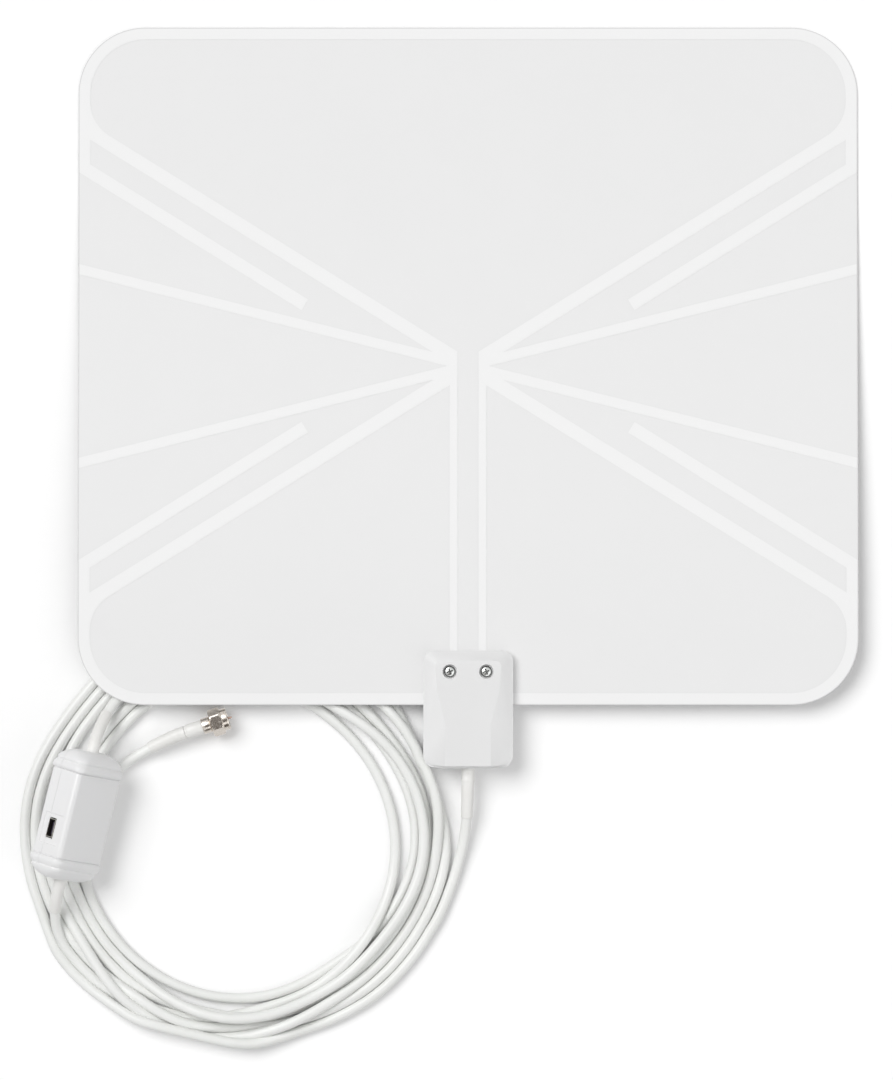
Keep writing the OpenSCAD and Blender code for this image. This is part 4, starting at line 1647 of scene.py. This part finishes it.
@dataclass
class Studio:
    """White floor, even light, a wide lamp from the upper left and a weak one opposite.

    Args:
        world: strength of the even light on the object.
        faced: what the dark cards face.
        lamps: the wide key lamp from the upper left and a weak one from the other side.
    """

    world: float = 0.37
    faced: tuple[float, float, float] = (-118.0, -147.0, 6.0)
    lamps: tuple[Lamp, ...] = (
        Lamp("key", 0.45, 141.0, 53.0, 38.0), Lamp("fill", 0.17, -38.0, 42.0, 80.0))

    def floor(self) -> bpy.types.Object:
        """Makes the floor, white where the camera or metal sees it.

        Returns:
            The floor.
        """
        shape = Shape()
        bmesh.ops.create_grid(shape.bm, x_segments=1, y_segments=1, size=2500)
        floor = shape.piece("floor", outward=False)
        material = bpy.data.materials.new("floor")
        graph = Graph(material)
        path = graph.add("ShaderNodeLightPath")
        camera = graph.out(path, "Is Camera Ray").larger(graph.out(path, "Is Transmission Ray"))
        mirrored = graph.out(path, "Is Glossy Ray")
        pale, white = (
            graph.out(graph.add("ShaderNodeBsdfDiffuse", None, {"Color": (c, c, c, 1.0)}))
            for c in (0.72, 1.03))
        glow = graph.add("ShaderNodeEmission", None, {"Color": (0.85, 0.85, 0.85, 1.0)})
        both = graph.blend(mirrored, graph.blend(camera, pale, white), graph.out(glow))
        graph.add("ShaderNodeOutputMaterial", None, {"Surface": both})
        floor.data.materials.append(material)
        return floor

    def surroundings(self) -> None:
        """Sets the world: even light on the object, white where it is seen."""
        world = bpy.data.worlds.new("studio")
        bpy.context.scene.world = world
        graph = Graph(world)
        path = graph.add("ShaderNodeLightPath")
        seen = graph.out(path, "Is Camera Ray").larger(graph.out(path, "Is Transmission Ray"))
        light, mirrored, white = (
            graph.out(graph.add("ShaderNodeBackground", None, {
                "Color": (1.0, 1.0, 1.0, 1.0), "Strength": strength}))
            for strength in (self.world, 0.8, 1.0))
        both = graph.blend(graph.out(path, "Is Glossy Ray"), light, mirrored)
        graph.add("ShaderNodeOutputWorld", None, {"Surface": graph.blend(seen, both, white)})

    def card(self, name: str, at: Vector, size: float) -> bpy.types.Object:
        """Makes a dark card that only reflections show.

        Args:
            name: its name.
            at: its place in millimetres.
            size: its radius in millimetres.

        Returns:
            The card.
        """
        shape = Shape()
        bmesh.ops.create_circle(shape.bm, cap_ends=True, segments=48, radius=size)
        aim = (Vector(self.faced) - at).to_track_quat("Z", "Y").to_matrix().to_4x4()
        card = shape.piece(name, Matrix.Translation(at) @ aim, outward=False)
        material = bpy.data.materials.new(name)
        graph = Graph(material)
        dark = graph.add("ShaderNodeEmission", None, {"Color": (0.1, 0.084, 0.072, 1.0)})
        graph.add("ShaderNodeOutputMaterial", None, {"Surface": graph.out(dark)})
        card.data.materials.append(material)
        for kind in ("camera", "diffuse", "shadow", "transmission", "volume_scatter"):
            setattr(card, f"visible_{kind}", False)
        return card

    def build(self) -> list[bpy.types.Object]:
        """Sets the light and makes the floor and the cards.

        Returns:
            The stage's objects.
        """
        bpy.context.scene.view_settings.view_transform = "Standard"
        self.surroundings()
        for lamp in self.lamps:
            lamp.build()
        stage = [self.floor(), self.card("card_above", Vector((-100, -235, 420)), 135),
                 self.card("card_low", Vector((-40, -420, 120)), 100)]
        return stage


def paint_nodes(palette: Palette) -> int:
    """Gives every CAD node that is still shown its slot's material.

    Args:
        palette: the materials.

    Returns:
        How many nodes were painted.
    """
    shown = 0
    for part in frame["record"]["subparts"]:
        node = NODES[part["node"]]
        palette.dress(node, part["material_slot"])
        shown += not node.hide_render
    return shown


def main() -> None:
    """Builds the scene in order."""
    logging.basicConfig(level=logging.INFO, format="%(message)s")
    CameraRig().build()
    palette = Palette(FINISHES)
    LOG.info("%d CAD nodes painted", paint_nodes(palette))
    cords = Cords(palette)
    sheet, housing = Sheet(palette), Housing(palette)
    amplifier, plug = Amplifier(palette), Plug(palette)
    built = {}
    for name, part in (("cords", cords), ("sheet", sheet), ("housing", housing),
                       ("amplifier", amplifier), ("plug", plug), ("studio", Studio())):
        built[name] = part.build()
        LOG.info("%s: %s", name, ", ".join(piece.name for piece in built[name]))
    [housing.cord_sleeve] + built["amplifier"] + amplifier.inner()
    built["plug"] + plug.inner()


if __name__ == "__main__":
    main()
